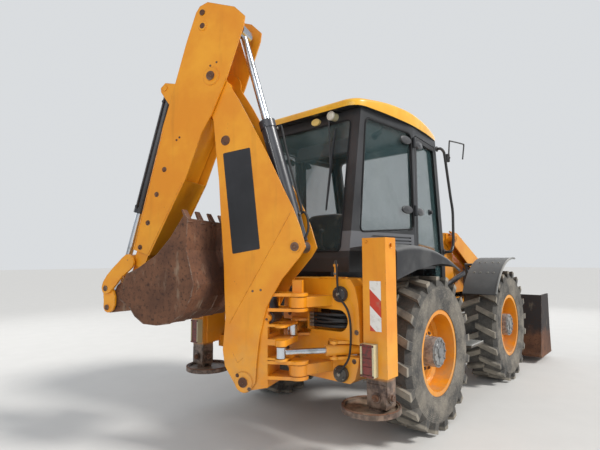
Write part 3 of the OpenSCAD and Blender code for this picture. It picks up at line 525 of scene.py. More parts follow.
def glass_film(s: Shader, sill: float) -> tuple[Signal, Signal]:
    """Opacity and colour of a pane, with streaky dust and reflections that rise at grazing views.

    Args:
        s: The material.
        sill: Height up to which dust gathers.

    Returns:
        The opacity and the colour.
    """
    dust = s.noise(6.0, 6.0, (1.0, 1.0, 0.35)).ramp(0.45, 0.8) * 0.05
    low = (1.0 - s.axis(2).ramp(sill, sill + 0.25)) * 0.09
    mirror = Signal(s, s.node("ShaderNodeFresnel", {}, {"IOR": 1.45}).outputs[0]) * 0.55
    colour = s.mix(dust * 6.0, linear(66, 92, 94), linear(168, 176, 170))
    return dust + low + mirror + 0.045, colour


@dataclass(frozen=True)
class TintedGlass:
    """Lightly tinted safety glass with a dusty film low down."""

    name: str = "tinted_glass"
    sill: float = 1.75

    def make(self) -> bpy.types.Material:
        """Builds the material: clear glass mixed with a thin film of dust."""
        s = Shader(self.name)
        s.surface.inputs["IOR"].default_value = 1.45
        s.surface.inputs["Specular IOR Level"].default_value = 0.8
        film, colour = glass_film(s, self.sill)
        return s.out(Base_Color=colour, Alpha=film, Roughness=0.03, Normal=s.bump(film, 0.02, 0.001))


@dataclass(frozen=True)
class Cloth:
    """Woven seat cloth."""

    name: str = "seat_cloth"

    def make(self) -> bpy.types.Material:
        """Builds the material."""
        s = Shader(self.name)
        s.surface.inputs["Sheen Weight"].default_value = 0.3
        weave = s.cells(420.0)
        colour = s.mix(weave.ramp(0.2, 0.6), linear(46, 48, 54), linear(26, 27, 30))
        colour = s.mix(s.noise(9.0, 4.0).ramp(0.5, 0.8) * 0.4, colour, DUST)
        return s.out(Base_Color=colour, Roughness=0.92, Normal=s.bump(weave, 0.5, 0.0012))


@dataclass(frozen=True)
class Hose:
    """Hydraulic hose rubber with dusty patches."""

    name: str = "hose_rubber"

    def make(self) -> bpy.types.Material:
        """Builds the material."""
        s = Shader(self.name)
        grain = s.noise(160.0, 4.0)
        colour = s.mix(grain.ramp(0.5, 0.8) * 0.5, linear(24, 24, 26), linear(92, 88, 82))
        return s.out(Base_Color=colour, Roughness=grain * 0.25 + 0.4, Normal=s.bump(grain, 0.3, 0.0015))


@dataclass(frozen=True)
class Flat:
    """Painted or moulded trim in one hue with faint dirt and grain."""

    name: str
    colour: Colour
    rough: float = 0.45
    metallic: float = 0.0
    glow: float = 0.0

    def make(self) -> bpy.types.Material:
        """Builds the material."""
        s = Shader(self.name, metallic=self.metallic)
        dirt = s.noise(14.0, 6.0)
        grain = s.noise(150.0, 3.0)
        colour = s.mix(dirt.ramp(0.5, 0.78) * 0.4, self.colour, tuple(c * 0.45 for c in self.colour))
        return s.out(Base_Color=colour, Roughness=dirt * 0.25 + self.rough, Normal=s.bump(grain, 0.2, 0.0008, 0.002))


# ---- modelling steps


def deselect() -> None:
    """Leaves object mode with nothing selected."""
    if bpy.context.mode != "OBJECT":
        bpy.ops.object.mode_set(mode="OBJECT")
    bpy.ops.object.select_all(action="DESELECT")


def outward() -> None:
    """Turns all faces of the mesh in edit mode outward."""
    bpy.ops.mesh.select_all(action="SELECT")
    bpy.ops.mesh.normals_make_consistent(inside=False)


class Work:
    """One piece on the bench, shaped with Blender's own tools and finished in place."""

    def __init__(self, made: bpy.types.Object) -> None:
        """Takes an object that was just added, and fixes its place in its mesh."""
        self.obj = made
        self.only()
        bpy.ops.object.transform_apply(location=True, rotation=True, scale=True)

    def only(self) -> None:
        """Makes this the one selected object."""
        deselect()
        self.obj.select_set(True)
        bpy.context.view_layer.objects.active = self.obj

    @classmethod
    def block(cls, low: Point, high: Point) -> "Work":
        """Cuboid between two corners.

        Args:
            low: Lowest corner.
            high: Highest corner.

        Returns:
            The piece.
        """
        deselect()
        a, b = Vector(low), Vector(high)
        bpy.ops.mesh.primitive_cube_add(size=1.0, location=(a + b) / 2)
        made = bpy.context.object
        made.scale = [abs(c) for c in b - a]
        return cls(made)

    @classmethod
    def rod(cls, start: Point, end: Point, radius: float, sides: int = 24, far: Optional[float] = None) -> "Work":
        """Cylinder or cone between two points.

        Args:
            start: Middle of the near end.
            end: Middle of the far end.
            radius: Radius, at the near end.
            sides: Faces round it.
            far: Radius at the far end, where it differs.

        Returns:
            The piece.
        """
        deselect()
        a, b = Vector(start), Vector(end)
        bpy.ops.mesh.primitive_cone_add(
            vertices=sides, radius1=radius, radius2=radius if far is None else far,
            depth=(b - a).length, location=(a + b) / 2, rotation=(b - a).to_track_quat("Z", "Y").to_euler(),
        )
        return cls(bpy.context.object)

    @classmethod
    def ring(cls, middle: Point, axis: Point, major: float, minor: float, around: int = 40) -> "Work":
        """Torus about an axis.

        Args:
            middle: Its middle.
            axis: Its axis.
            major: Radius of the loop.
            minor: Radius of the bar.
            around: Segments of the loop.

        Returns:
            The piece.
        """
        deselect()
        bpy.ops.mesh.primitive_torus_add(
            location=middle, rotation=Vector(axis).to_track_quat("Z", "Y").to_euler(),
            major_radius=major, minor_radius=minor, major_segments=around, minor_segments=10,
        )
        return cls(bpy.context.object)

    @classmethod
    def ball(cls, middle: Point, radius: float, sides: int = 20) -> "Work":
        """Sphere.

        Args:
            middle: Its middle.
            radius: Its radius.
            sides: Segments round it.

        Returns:
            The piece.
        """
        deselect()
        bpy.ops.mesh.primitive_uv_sphere_add(segments=sides, ring_count=sides // 2, radius=radius, location=middle)
        return cls(bpy.context.object)

    @classmethod
    def outline(cls, points: Sequence[Point], push: Point) -> "Work":
        """Flat outline through points, pushed out into a plate.

        Args:
            points: The outline.
            push: Step from the first face to the second.

        Returns:
            The piece.
        """
        deselect()
        bpy.ops.mesh.primitive_plane_add(size=1.0)
        made = bpy.context.object
        made.data.clear_geometry()
        made.data.from_pydata([tuple(p) for p in points], [], [tuple(range(len(points)))])
        push_out = {"value": tuple(push)}
        return cls(made).edit(lambda: bpy.ops.mesh.extrude_region_move(TRANSFORM_OT_translate=push_out), outward)

    @classmethod
    def tube(
        cls, points: Sequence[Point], radius: float, sides: int = 3, ribs: float = 0.0, soft: bool = True,
    ) -> "Work":
        """Pipe or hose along a route.

        Args:
            points: The route.
            radius: Its radius.
            sides: Resolution round it.
            ribs: Length of one rib of a ribbed sleeve, or 0.
            soft: Whether it flows through the points in one curve.

        Returns:
            The piece.
        """
        deselect()
        route = smooth(points, 10) if soft else [Vector(p) for p in points]
        if ribs:
            route = spaced(route, ribs / 2)
        bpy.ops.curve.primitive_bezier_curve_add()
        curve = bpy.context.object.data
        curve.splines.clear()
        spline = curve.splines.new("POLY")
        spline.points.add(len(route) - 1)
        for i, p in enumerate(route):
            spline.points[i].co = (*p, 1.0)
            spline.points[i].radius = 1.0 if not ribs or i % 2 else 0.84
        curve.dimensions = "3D"
        curve.bevel_depth = radius
        curve.bevel_resolution = sides
        curve.use_fill_caps = True
        bpy.ops.object.convert(target="MESH")
        return cls(bpy.context.object).edit(lambda: bpy.ops.mesh.remove_doubles(threshold=0.00005), outward)

    @classmethod
    def sheet(cls, columns: int, rows: int, shape: Callable[[float, float], Vector], thickness: float) -> "Work":
        """Curved panel, shaped from a grid and given a thickness.

        Args:
            columns: Faces along.
            rows: Faces across.
            shape: Point for shares along and across, both from 0 to 1.
            thickness: Its wall.

        Returns:
            The panel.
        """
        deselect()
        bpy.ops.mesh.primitive_grid_add(x_subdivisions=columns, y_subdivisions=rows, size=1.0)
        work = cls(bpy.context.object).reshape(lambda v: shape(v.x + 0.5, v.y + 0.5))
        return work.modify("SOLIDIFY", thickness=thickness, offset=0.0).edit(outward)

    def edit(self, *steps: Callable[[], object]) -> "Work":
        """Runs steps in edit mode, with the whole mesh selected at first.

        Args:
            steps: What is called, in order.

        Returns:
            The piece.
        """
        self.only()
        bpy.ops.object.mode_set(mode="EDIT")
        bpy.ops.mesh.select_all(action="SELECT")
        for step in steps:
            step()
        bpy.ops.object.mode_set(mode="OBJECT")
        return self

    def modify(self, kind: str, **settings: float) -> "Work":
        """Applies a modifier of a kind with its settings.

        Args:
            kind: The modifier's type.
            settings: Its settings.

        Returns:
            The piece.
        """
        self.only()
        made = self.obj.modifiers.new(kind.lower(), kind)
        for key, value in settings.items():
            setattr(made, key, value)
        bpy.ops.object.modifier_apply(modifier=made.name)
        return self

    def pick_faces(self, test: Callable[[Vector, Vector], bool]) -> "Work":
        """Selects the faces whose middle and normal pass a test, and stays in edit mode.

        Args:
            test: Called with a face's middle and normal.

        Returns:
            The piece.
        """
        self.only()
        bpy.ops.object.mode_set(mode="EDIT")
        bpy.ops.mesh.select_mode(type="FACE")
        bpy.ops.mesh.select_all(action="DESELECT")
        bpy.ops.object.mode_set(mode="OBJECT")
        for face in self.obj.data.polygons:
            face.select = test(face.center, face.normal)
        bpy.ops.object.mode_set(mode="EDIT")
        return self

    def facing(self, direction: Point, cosine: float = 0.9) -> "Work":
        """Selects the faces that face a direction."""
        aim = Vector(direction).normalized()
        return self.pick_faces(lambda _, normal: normal.dot(aim) > cosine)

    def inset(self, border: float, depth: float = 0.0) -> "Work":
        """Insets the selected faces and pushes them by a depth."""
        bpy.ops.mesh.inset(thickness=border, depth=depth)
        bpy.ops.object.mode_set(mode="OBJECT")
        return self

    def sink(self, border: float, depth: float) -> "Work":
        """Insets the selected faces, then sinks them with upright walls."""
        bpy.ops.mesh.inset(thickness=border, depth=0.0)
        return self.inset(0.0005, -depth)

    def grow(self, factors: Point) -> "Work":
        """Scales the selected faces about their middle."""
        bpy.ops.transform.resize(value=tuple(factors))
        bpy.ops.object.mode_set(mode="OBJECT")
        return self

    def bevel(self, width: float, segments: int = 2, angle: float = 30.0) -> "Work":
        """Rounds the edges that are sharper than an angle."""
        return self.modify("BEVEL", width=width, segments=segments, angle_limit=math.radians(angle))

    def turn(self, angle: float, axis: str, middle: Point) -> "Work":
        """Turns the piece about an axis through a point, by degrees.

        Args:
            angle: Degrees.
            axis: X, Y or Z.
            middle: A point on the axis.

        Returns:
            The piece.
        """
        spin = Matrix.Rotation(math.radians(angle), 4, axis)
        move = Matrix.Translation(Vector(middle))
        self.obj.data.transform(move @ spin @ move.inverted())
        self.obj.data.update()
        return self

    def move(self, by: Point) -> "Work":
        """Moves the piece's mesh."""
        self.obj.data.transform(Matrix.Translation(Vector(by)))
        return self

    def on_side(self, side: int) -> "Work":
        """Leaves the piece on the machine's left for 1, or mirrors it to the right for -1."""
        if side < 0:
            self.obj.data.transform(Matrix.Scale(-1, 4, Vector(OUT)))
            self.obj.data.flip_normals()
        return self

    def reshape(self, move: Callable[[Vector], Vector]) -> "Work":
        """Moves each point of the mesh."""
        for v in self.obj.data.vertices:
            v.co = move(v.co)
        self.obj.data.update()
        return self

    def copy(self) -> "Work":
        """Copy with its own mesh."""
        made = self.obj.copy()
        made.data = self.obj.data.copy()
        bpy.context.scene.collection.objects.link(made)
        return Work(made)


def smooth(points: Sequence[Point], steps: int) -> list[Vector]:
    """Points of one smooth curve through a route.

    Args:
        points: The route.
        steps: Stretches between two points.

    Returns:
        Its points.
    """
    route = [Vector(p) for p in points]
    ends = [route[0] * 2 - route[1], *route, route[-1] * 2 - route[-2]]
    out = []
    for i in range(len(route) - 1):
        a, b, c, d = ends[i : i + 4]
        for k in range(steps):
            t = k / steps
            square, cube = 2 * a - 5 * b + 4 * c - d, 3 * b - a - 3 * c + d
            out.append(0.5 * (2 * b + (c - a) * t + square * t * t + cube * t**3))
    return [*out, route[-1]]


def spaced(route: Sequence[Vector], step: float) -> list[Vector]:
    """The same route with points at equal steps.

    Args:
        route: The route.
        step: Metres between points.

    Returns:
        Its points.
    """
    out, left = [route[0]], step
    for a, b in zip(route, route[1:]):
        length, done = (b - a).length, 0.0
        while length - done >= left:
            done += left
            out.append(a.lerp(b, done / length))
            left = step
        left -= length - done
    return out if len(out) > 1 else list(route)


def join(works: Iterable[Work]) -> Work:
    """Makes several worked forms one piece.

    Args:
        works: The forms.

    Returns:
        The piece that they make.
    """
    parts = list(works)
    deselect()
    for part in parts:
        part.obj.select_set(True)
    bpy.context.view_layer.objects.active = parts[0].obj
    bpy.ops.object.join()
    return Work(bpy.context.object)


class Dresser:
    """The finishes, and the frame that the pieces ride on."""

    def __init__(self, frame: dict) -> None:
        """Takes the loaded frame."""
        self.frame = frame
        self.finishes: dict[str, bpy.types.Material] = {}
        self.count = 0

    def finish_of(self, finish: Finish) -> bpy.types.Material:
        """A finish's material, made once."""
        if finish.name not in self.finishes:
            self.finishes[finish.name] = finish.make()
        return self.finishes[finish.name]

    def paint(self, finish: Finish, *nodes: str) -> None:
        """Gives carried-over CAD nodes a finish."""
        for name in nodes:
            obj = self.frame["nodes"][name]
            obj.data.materials.clear()
            obj.data.materials.append(self.finish_of(finish))

    def fit(
        self, work: Union[Work, Iterable[Work]], name: str, body: str, slot: Slot, finish: Finish,
        angle: float = 35.0, replaces: Sequence[str] = (),
    ) -> bpy.types.Object:
        """Finishes a piece and fixes it to its body.

        Args:
            work: The worked form, or several that make one piece.
            name: The piece's name.
            body: The CAD body that it rides on.
            slot: The material slot of the record; not used.
            finish: The finish.
            angle: Faces that meet at less than this shade smoothly.
            replaces: CAD nodes that it stands for.

        Returns:
            The piece.
        """
        whole = work if isinstance(work, Work) else join(work)
        obj = whole.obj
        obj.name = obj.data.name = name
        whole.only()
        bpy.ops.object.shade_smooth_by_angle(angle=math.radians(angle))
        obj.data.materials.clear()
        obj.data.materials.append(self.finish_of(finish))
        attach(obj, body)
        if replaces:
            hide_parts(*replaces)
        self.count += 1
        LOG.info("%s rides on %s", name, body)
        return obj


# ---- finishes of this machine


YELLOW = linear(224, 139, 12)
YELLOW_FADED = linear(236, 160, 30)
BLACK = linear(30, 31, 33)


def trim_and_shade_under_roof_lip(s: Shader, colour: Signal) -> Signal:
    """Black sealant and trim on the faces that point down under the roof's lip, partly painted shade under the
    overhang.
    """
    # faces pointing down are painted black, as painted shade under the roof's lip
    return s.mix((0.0 - s.upward()).ramp(0.3, 0.5), colour, BLACK)


def corner_moulding(s: Shader, colour: Signal) -> Signal:
    """Grey moulded panel with the vents, under the rear quarter window."""
    high = s.axis(2).ramp(1.628, 1.634) * (1.0 - s.axis(2).ramp(1.800, 1.806))
    along = 1.0 - s.axis(0).ramp(REAR_AXLE_X + 0.17, REAR_AXLE_X + 0.18)
    return s.mix(high * along, colour, linear(96, 97, 100))


@dataclass(frozen=True)
class DoorFinish:
    """Door of one solid: black frame outside the pane's outline, glass within it."""

    name: str = "door_frame_and_glass"

    def inside(self, s: Shader, start: Point, end: Point) -> Signal:
        """1 on the left of a line in the side view, 0 on its right.

        Args:
            s: The material.
            start: One point of the line, along and up.
            end: The next.

        Returns:
            The mask.
        """
        along = Vector((end[0] - start[0], end[1] - start[1], 0)).normalized()
        off = (s.axis(2) - start[1]) * along.x - (s.axis(0) - (start[0] + REAR_AXLE_X)) * along.y
        return off.ramp(0.0008, 0.0016)

    def pane(self, s: Shader) -> Signal:
        """1 where the pane shows, 0 on the frame and the bar."""
        right = self.inside(s, (1.040, 1.125), (1.040, 1.495)) * self.inside(s, (1.0395, 1.500), (0.8234, 2.795))
        upper = self.inside(s, (0.290, 2.795), (0.290, 1.615)) * self.inside(s, (0.290, 1.615), (1.040, 1.615))
        upper = upper * self.inside(s, (0.8234, 2.795), (0.290, 2.795)) * right
        lower = self.inside(s, (0.7366, 1.615), (0.9416, 1.125)) * self.inside(s, (0.9416, 1.125), (1.040, 1.125))
        lower = lower * self.inside(s, (1.040, 1.618), (0.7366, 1.618))
        lower = lower * self.inside(s, (1.040, 1.125), (1.040, 1.616))
        bar = s.axis(2).ramp(1.4784, 1.4792) * (1.0 - s.axis(2).ramp(1.5258, 1.5266))
        return upper.either(lower) * (1.0 - bar)

    def make(self) -> bpy.types.Material:
        """Builds the material."""
        s = Shader(self.name)
        grain, broad = s.noise(46.0, 5.0), s.noise(2.4, 5.0)
        pane = self.pane(s)
        film, tint = glass_film(s, 1.40)
        frame = s.mix(broad.ramp(0.35, 0.7), BLACK, linear(50, 50, 52))
        frame = s.mix(grain.ramp(0.55, 0.8) * 0.35, frame, DUST)
        rough = (grain * 0.25 + 0.36) * (1.0 - pane) + pane * 0.03
        bump = s.bump(grain * (1.0 - pane), 0.2, 0.0008, 0.003)
        alpha = film * pane + (1.0 - pane)
        return s.out(Base_Color=s.mix(pane, frame, tint), Alpha=alpha, Roughness=rough, Normal=bump)


def foot_patch(s: Shader, colour: Signal) -> Signal:
    """Worn, dirty foot of a stabiliser."""
    low = (1.0 - s.axis(2).ramp(0.66, 0.70)) * s.noise(7.0, 5.0).ramp(0.2, 0.3)
    shoe = s.mix(s.noise(16.0, 6.0).ramp(0.4, 0.6), DARK_RUST, linear(120, 96, 82))
    return s.mix(low, colour, shoe)


def hub_plate(x: float) -> Tint:
    """Grey planetary case in the middle of a rim.

    Args:
        x: Place of the axle.

    Returns:
        A tint for a finish.
    """

    def tint(s: Shader, colour: Signal) -> Signal:
        """Colours the case within its radius."""
        grey = s.mix(s.noise(30.0, 4.0).ramp(0.4, 0.6), linear(112, 114, 116), linear(150, 150, 146))
        return s.mix(1.0 - s.from_axle(x).ramp(0.142, 0.144), colour, grey)

    return tint


def lamp_bodies(s: Shader, colour: Signal) -> Signal:
    """Dark red lenses low down at the tail, in their pale frames."""
    low = 1.0 - s.axis(2).ramp(1.2, 1.3)
    back = 1.0 - s.axis(0).ramp(REAR_AXLE_X - 1.159, REAR_AXLE_X - 1.1575)
    side = s.axis(1).size()
    inner = side.ramp(1.0045, 1.0055) * (1.0 - side.ramp(1.0895, 1.0905))
    red = s.mix(s.noise(40.0, 3.0).ramp(0.4, 0.7), linear(120, 14, 14), linear(60, 8, 10))
    return s.mix(low * back * inner, colour, red)


def old_paint(s: Shader, colour: Signal) -> Signal:
    """Dark paint that is left over the rusty lower half of the loader bucket."""
    left = s.axis(2) + s.noise(4.0, 5.0) * 0.5
    return s.mix(left.ramp(0.62, 0.78), colour, linear(46, 42, 42))


@dataclass(frozen=True)
class StripePlate:
    """White plate with red diagonal bands, faded and grimy."""

    name: str = "warning_stripes"
    period: float = 0.266
    start: float = 1.337
    slant: float = 0.90
    inner_y: float = 1.042

    def make(self) -> bpy.types.Material:
        """Builds the material."""
        s = Shader(self.name)
        along = (s.axis(2) + s.axis(1).size() * self.slant - (self.inner_y * self.slant + self.start)) / self.period
        wave = s.node("ShaderNodeMath", {"operation": "FRACT"}, {0: along})
        red = Signal(s, wave.outputs[0]).above(0.54)
        grime = s.noise(22.0, 6.0)
        colour = s.mix(red, linear(226, 224, 218), linear(196, 58, 34))
        colour = s.mix(grime.ramp(0.5, 0.75) * 0.45, colour, DUST)
        return s.out(Base_Color=colour, Roughness=grime * 0.3 + 0.25, Normal=s.bump(grime, 0.15, 0.0006, 0.002))


ENAMEL = Enamel("machine_enamel", YELLOW, YELLOW_FADED)
# Roof yellow is a lighter, yellower copy of the machine's yellow: painted sunlight on the roof's top, with painted
# shade under its lip.
ROOF_PAINTED_LIGHT = Enamel("roof_enamel_painted_light", linear(232, 168, 34), linear(244, 190, 60), dust=0.3, extra=trim_and_shade_under_roof_lip)
STABILISER = Enamel("stabiliser_enamel", YELLOW, YELLOW_FADED, wear=0.9, extra=foot_patch)
CAB_BLACK = Enamel("cab_enamel", BLACK, linear(52, 52, 54), linear(96, 90, 84), 0.42, 0.4, extra=corner_moulding)
FRAME_BLACK = Enamel("frame_enamel", BLACK, linear(50, 49, 47), RUST, 0.5, 0.5, 0.7)
RIM_FRONT = Enamel("front_rim_enamel", YELLOW, YELLOW_FADED, dust=0.6, extra=hub_plate(FRONT_AXLE_X))
RIM_REAR = Enamel("rear_rim_enamel", YELLOW, YELLOW_FADED, dust=0.6, extra=hub_plate(REAR_AXLE_X))
LAMPS = Enamel(
    "lamp_shells", linear(206, 196, 150), linear(190, 186, 160), linear(90, 84, 70), dust=0.3, extra=lamp_bodies,
)
TYRE_FRONT = Rubber("front_tyre_rubber", axle_x=FRONT_AXLE_X)
TYRE_REAR = Rubber("rear_tyre_rubber", axle_x=REAR_AXLE_X)
GUARD = Plastic("guard_plastic", linear(38, 39, 42), linear(126, 126, 124), 0.7, 0.5)
PLASTIC = Plastic("cab_plastic")
BUCKET = WornSteel("bucket_steel")
PIN_STEEL = WornSteel("pin_steel")
BRIGHT = Flat("bright_fittings", linear(150, 146, 136), 0.3, 0.8)
LOADER_BUCKET = WornSteel("loader_bucket_steel", extra=old_paint)
BARREL = Enamel("ram_enamel", linear(34, 36, 42), linear(58, 60, 66), linear(120, 118, 114), 0.36, 0.4, 0.4)
ENGINE = Enamel("engine_enamel", linear(66, 66, 64), linear(88, 86, 80), RUST, 0.6, 0.3, 0.9)


# ---- camera, lights and floor


@dataclass
class Studio:
    """The camera at the photograph's angle, soft lamps and a pale floor."""

    position: tuple[float, float, float] = (-4.89968, -2.80624, 1.55979)
    azimuth: float = 0.7102985596
    pitch: float = 0.0781882797
    roll: float = 0.0041869911
    focal_pixels: float = 437.594
    lamps: tuple[tuple[str, Point, float, float], ...] = (
        ("rear_fill", (-8.5, -3.5, 4.5), 5.0, 190.0),
        ("left_fill", (-2.5, 9.0, 6.0), 6.0, 170.0),
        ("front_fill", (9.5, 1.0, 5.5), 6.0, 150.0),
    )

    def shoot(self) -> None:
        """Places the camera."""
        cos_p, sin_p = math.cos(self.pitch), math.sin(self.pitch)
        ahead = Vector((math.cos(self.azimuth) * cos_p, math.sin(self.azimuth) * cos_p, sin_p))
        right = ahead.cross(Vector((0, 0, 1))).normalized()
        down = ahead.cross(right)
        cos_r, sin_r = math.cos(self.roll), math.sin(self.roll)
        across, below = right * cos_r + down * sin_r, down * cos_r - right * sin_r
        data = bpy.data.cameras.new("camera")
        data.sensor_width = 36.0
        data.lens = 36.0 * self.focal_pixels / 600.0
        camera = bpy.data.objects.new("camera", data)
        bpy.context.scene.collection.objects.link(camera)
        turn = Matrix((across, -below, -ahead)).transposed().to_4x4()
        camera.matrix_world = Matrix.Translation(Vector(self.position)) @ turn
        bpy.context.scene.camera = camera

    def light(self) -> None:
        """Hangs the soft lamps and sets the pale world."""
        for name, spot, size, power in self.lamps:
            data = bpy.data.lights.new(name, "AREA")
            data.size, data.energy = size, power
            lamp = bpy.data.objects.new(name, data)
            bpy.context.scene.collection.objects.link(lamp)
            aim = Vector((-0.6, 0.0, 1.3)) - Vector(spot)
            lamp.matrix_world = Matrix.Translation(Vector(spot)) @ aim.to_track_quat("-Z", "Y").to_matrix().to_4x4()
        sun = bpy.data.lights.new("key", "SUN")
        sun.energy, sun.angle, sun.color = 2.9, 0.22, (1.0, 0.975, 0.94)
        key = bpy.data.objects.new("key", sun)
        bpy.context.scene.collection.objects.link(key)
        key.matrix_world = Vector((-2.6, 6.2, -6.0)).to_track_quat("-Z", "Y").to_matrix().to_4x4()
        world = bpy.data.worlds.new("studio")
        bpy.context.scene.world = world
        world.use_nodes = True
        tree = world.node_tree
        ground = tree.nodes["Background"]
        path = tree.nodes.new("ShaderNodeLightPath")
        seen = tree.nodes.new("ShaderNodeBackground")
        seen.inputs[0].default_value = (0.70, 0.72, 0.74, 1.0)
        ground.inputs[0].default_value = (0.80, 0.84, 0.90, 1.0)
        ground.inputs[1].default_value = 0.55
        pick = tree.nodes.new("ShaderNodeMixShader")
        rays = tree.nodes.new("ShaderNodeMath")
        rays.operation = "MAXIMUM"
        for source, target in (
            (path.outputs["Is Camera Ray"], rays.inputs[0]), (path.outputs["Is Transmission Ray"], rays.inputs[1]),
            (rays.outputs[0], pick.inputs[0]), (ground.outputs[0], pick.inputs[1]), (seen.outputs[0], pick.inputs[2]),
            (pick.outputs[0], tree.nodes["World Output"].inputs[0]),
        ):
            tree.links.new(source, target)

    def floor(self) -> None:
        """Lays a pale floor."""
        deselect()
        bpy.ops.mesh.primitive_plane_add(size=160.0)
        obj = bpy.context.object
        obj.name = "floor"
        s = Shader("floor_paint")
        speck = s.noise(3.0, 6.0)
        s.out(Base_Color=s.mix(speck, linear(205, 204, 201), linear(214, 213, 210)), Roughness=0.85)
        obj.data.materials.append(s.material)

    def build(self) -> None:
        """Sets up the whole studio."""
        self.shoot()
        self.light()
        self.floor()
        bpy.context.scene.view_settings.view_transform = "Standard"


# ---- the machine's sub-assemblies


def bolt(middle: Point, aim: Point, radius: float = 0.012, height: float = 0.009) -> Work:
    """Hexagon bolt head on its washer, standing on a face.

    Args:
        middle: Where it stands.
        aim: Direction that it stands out in.
        radius: Radius of its head.
        height: Height of its head.

    Returns:
        The piece.
    """
    base, up = Vector(middle), Vector(aim).normalized()
    head = Work.rod(base + up * 0.002, base + up * height, radius, 6).bevel(radius * 0.12, 1)
    washer = Work.rod(base - up * 0.001, base + up * 0.0025, radius * 1.5, 20)
    return join([head, washer])


def pin_head(middle: Point, aim: Point, radius: float, height: float = 0.012) -> Work:
    """End of a pivot pin with a chamfer, a centre hole and a grease nipple.

    Args:
        middle: Where it stands.
        aim: Direction that it stands out in.
        radius: Radius of the pin.
        height: How far it stands out.

    Returns:
        The piece.
    """
    base, up = Vector(middle), Vector(aim).normalized()
    end = Work.rod(base - up * 0.002, base + up * height, radius, 28)
    end.facing(up).sink(radius * 0.28, -0.003)
    end.pick_faces(lambda c, n: n.dot(up) > 0.98 and (c - base).length < radius * 0.9)
    end.inset(radius * 0.3, -height * 0.4)
    end.bevel(0.0015, 1)
    nipple = Work.rod(base + up * height * 0.4, base + up * (height + 0.008), 0.005, 10, 0.003)
    return join([end, nipple])


def bead(points: Sequence[Point], radius: float) -> Work:
    """Weld bead with its ripples along a seam."""
    return Work.tube(points, radius, 1, 0.012, soft=False)


def rounded_loop(corners: Sequence[Point], radius: float, steps: int = 5) -> list[tuple[float, float]]:
    """Outline with its corners rounded, as points in its own plane.

    Args:
        corners: The outline's corners.
        radius: How far from a corner its round starts.
        steps: Stretches of one round.

    Returns:
        The outline.
    """
    out: list[tuple[float, float]] = []
    count = len(corners)
    for i in range(count):
        a, b, c = (Vector((*corners[(i + k) % count][:2], 0.0)) for k in (-1, 0, 1))
        start, end = b + (a - b).normalized() * radius, b + (c - b).normalized() * radius
        for k in range(steps + 1):
            t = k / steps
            spot = start * (1 - t) ** 2 + b * 2 * t * (1 - t) + end * t * t
            out.append((spot.x, spot.y))
    return out


def height_at(line: Sequence[Point], x: float) -> float:
    """Height of a line of straight stretches at a place along it.

    Args:
        line: Points of the line, each its place and height.
        x: The place.

    Returns:
        The height.
    """
    for (x0, z0), (x1, z1) in zip(line, line[1:]):
        if x <= x1 or (x1, z1) == line[-1]:
            t = min(1.0, max(0.0, (x - x0) / (x1 - x0)))
            return z0 + (z1 - z0) * t
    return line[-1][1]


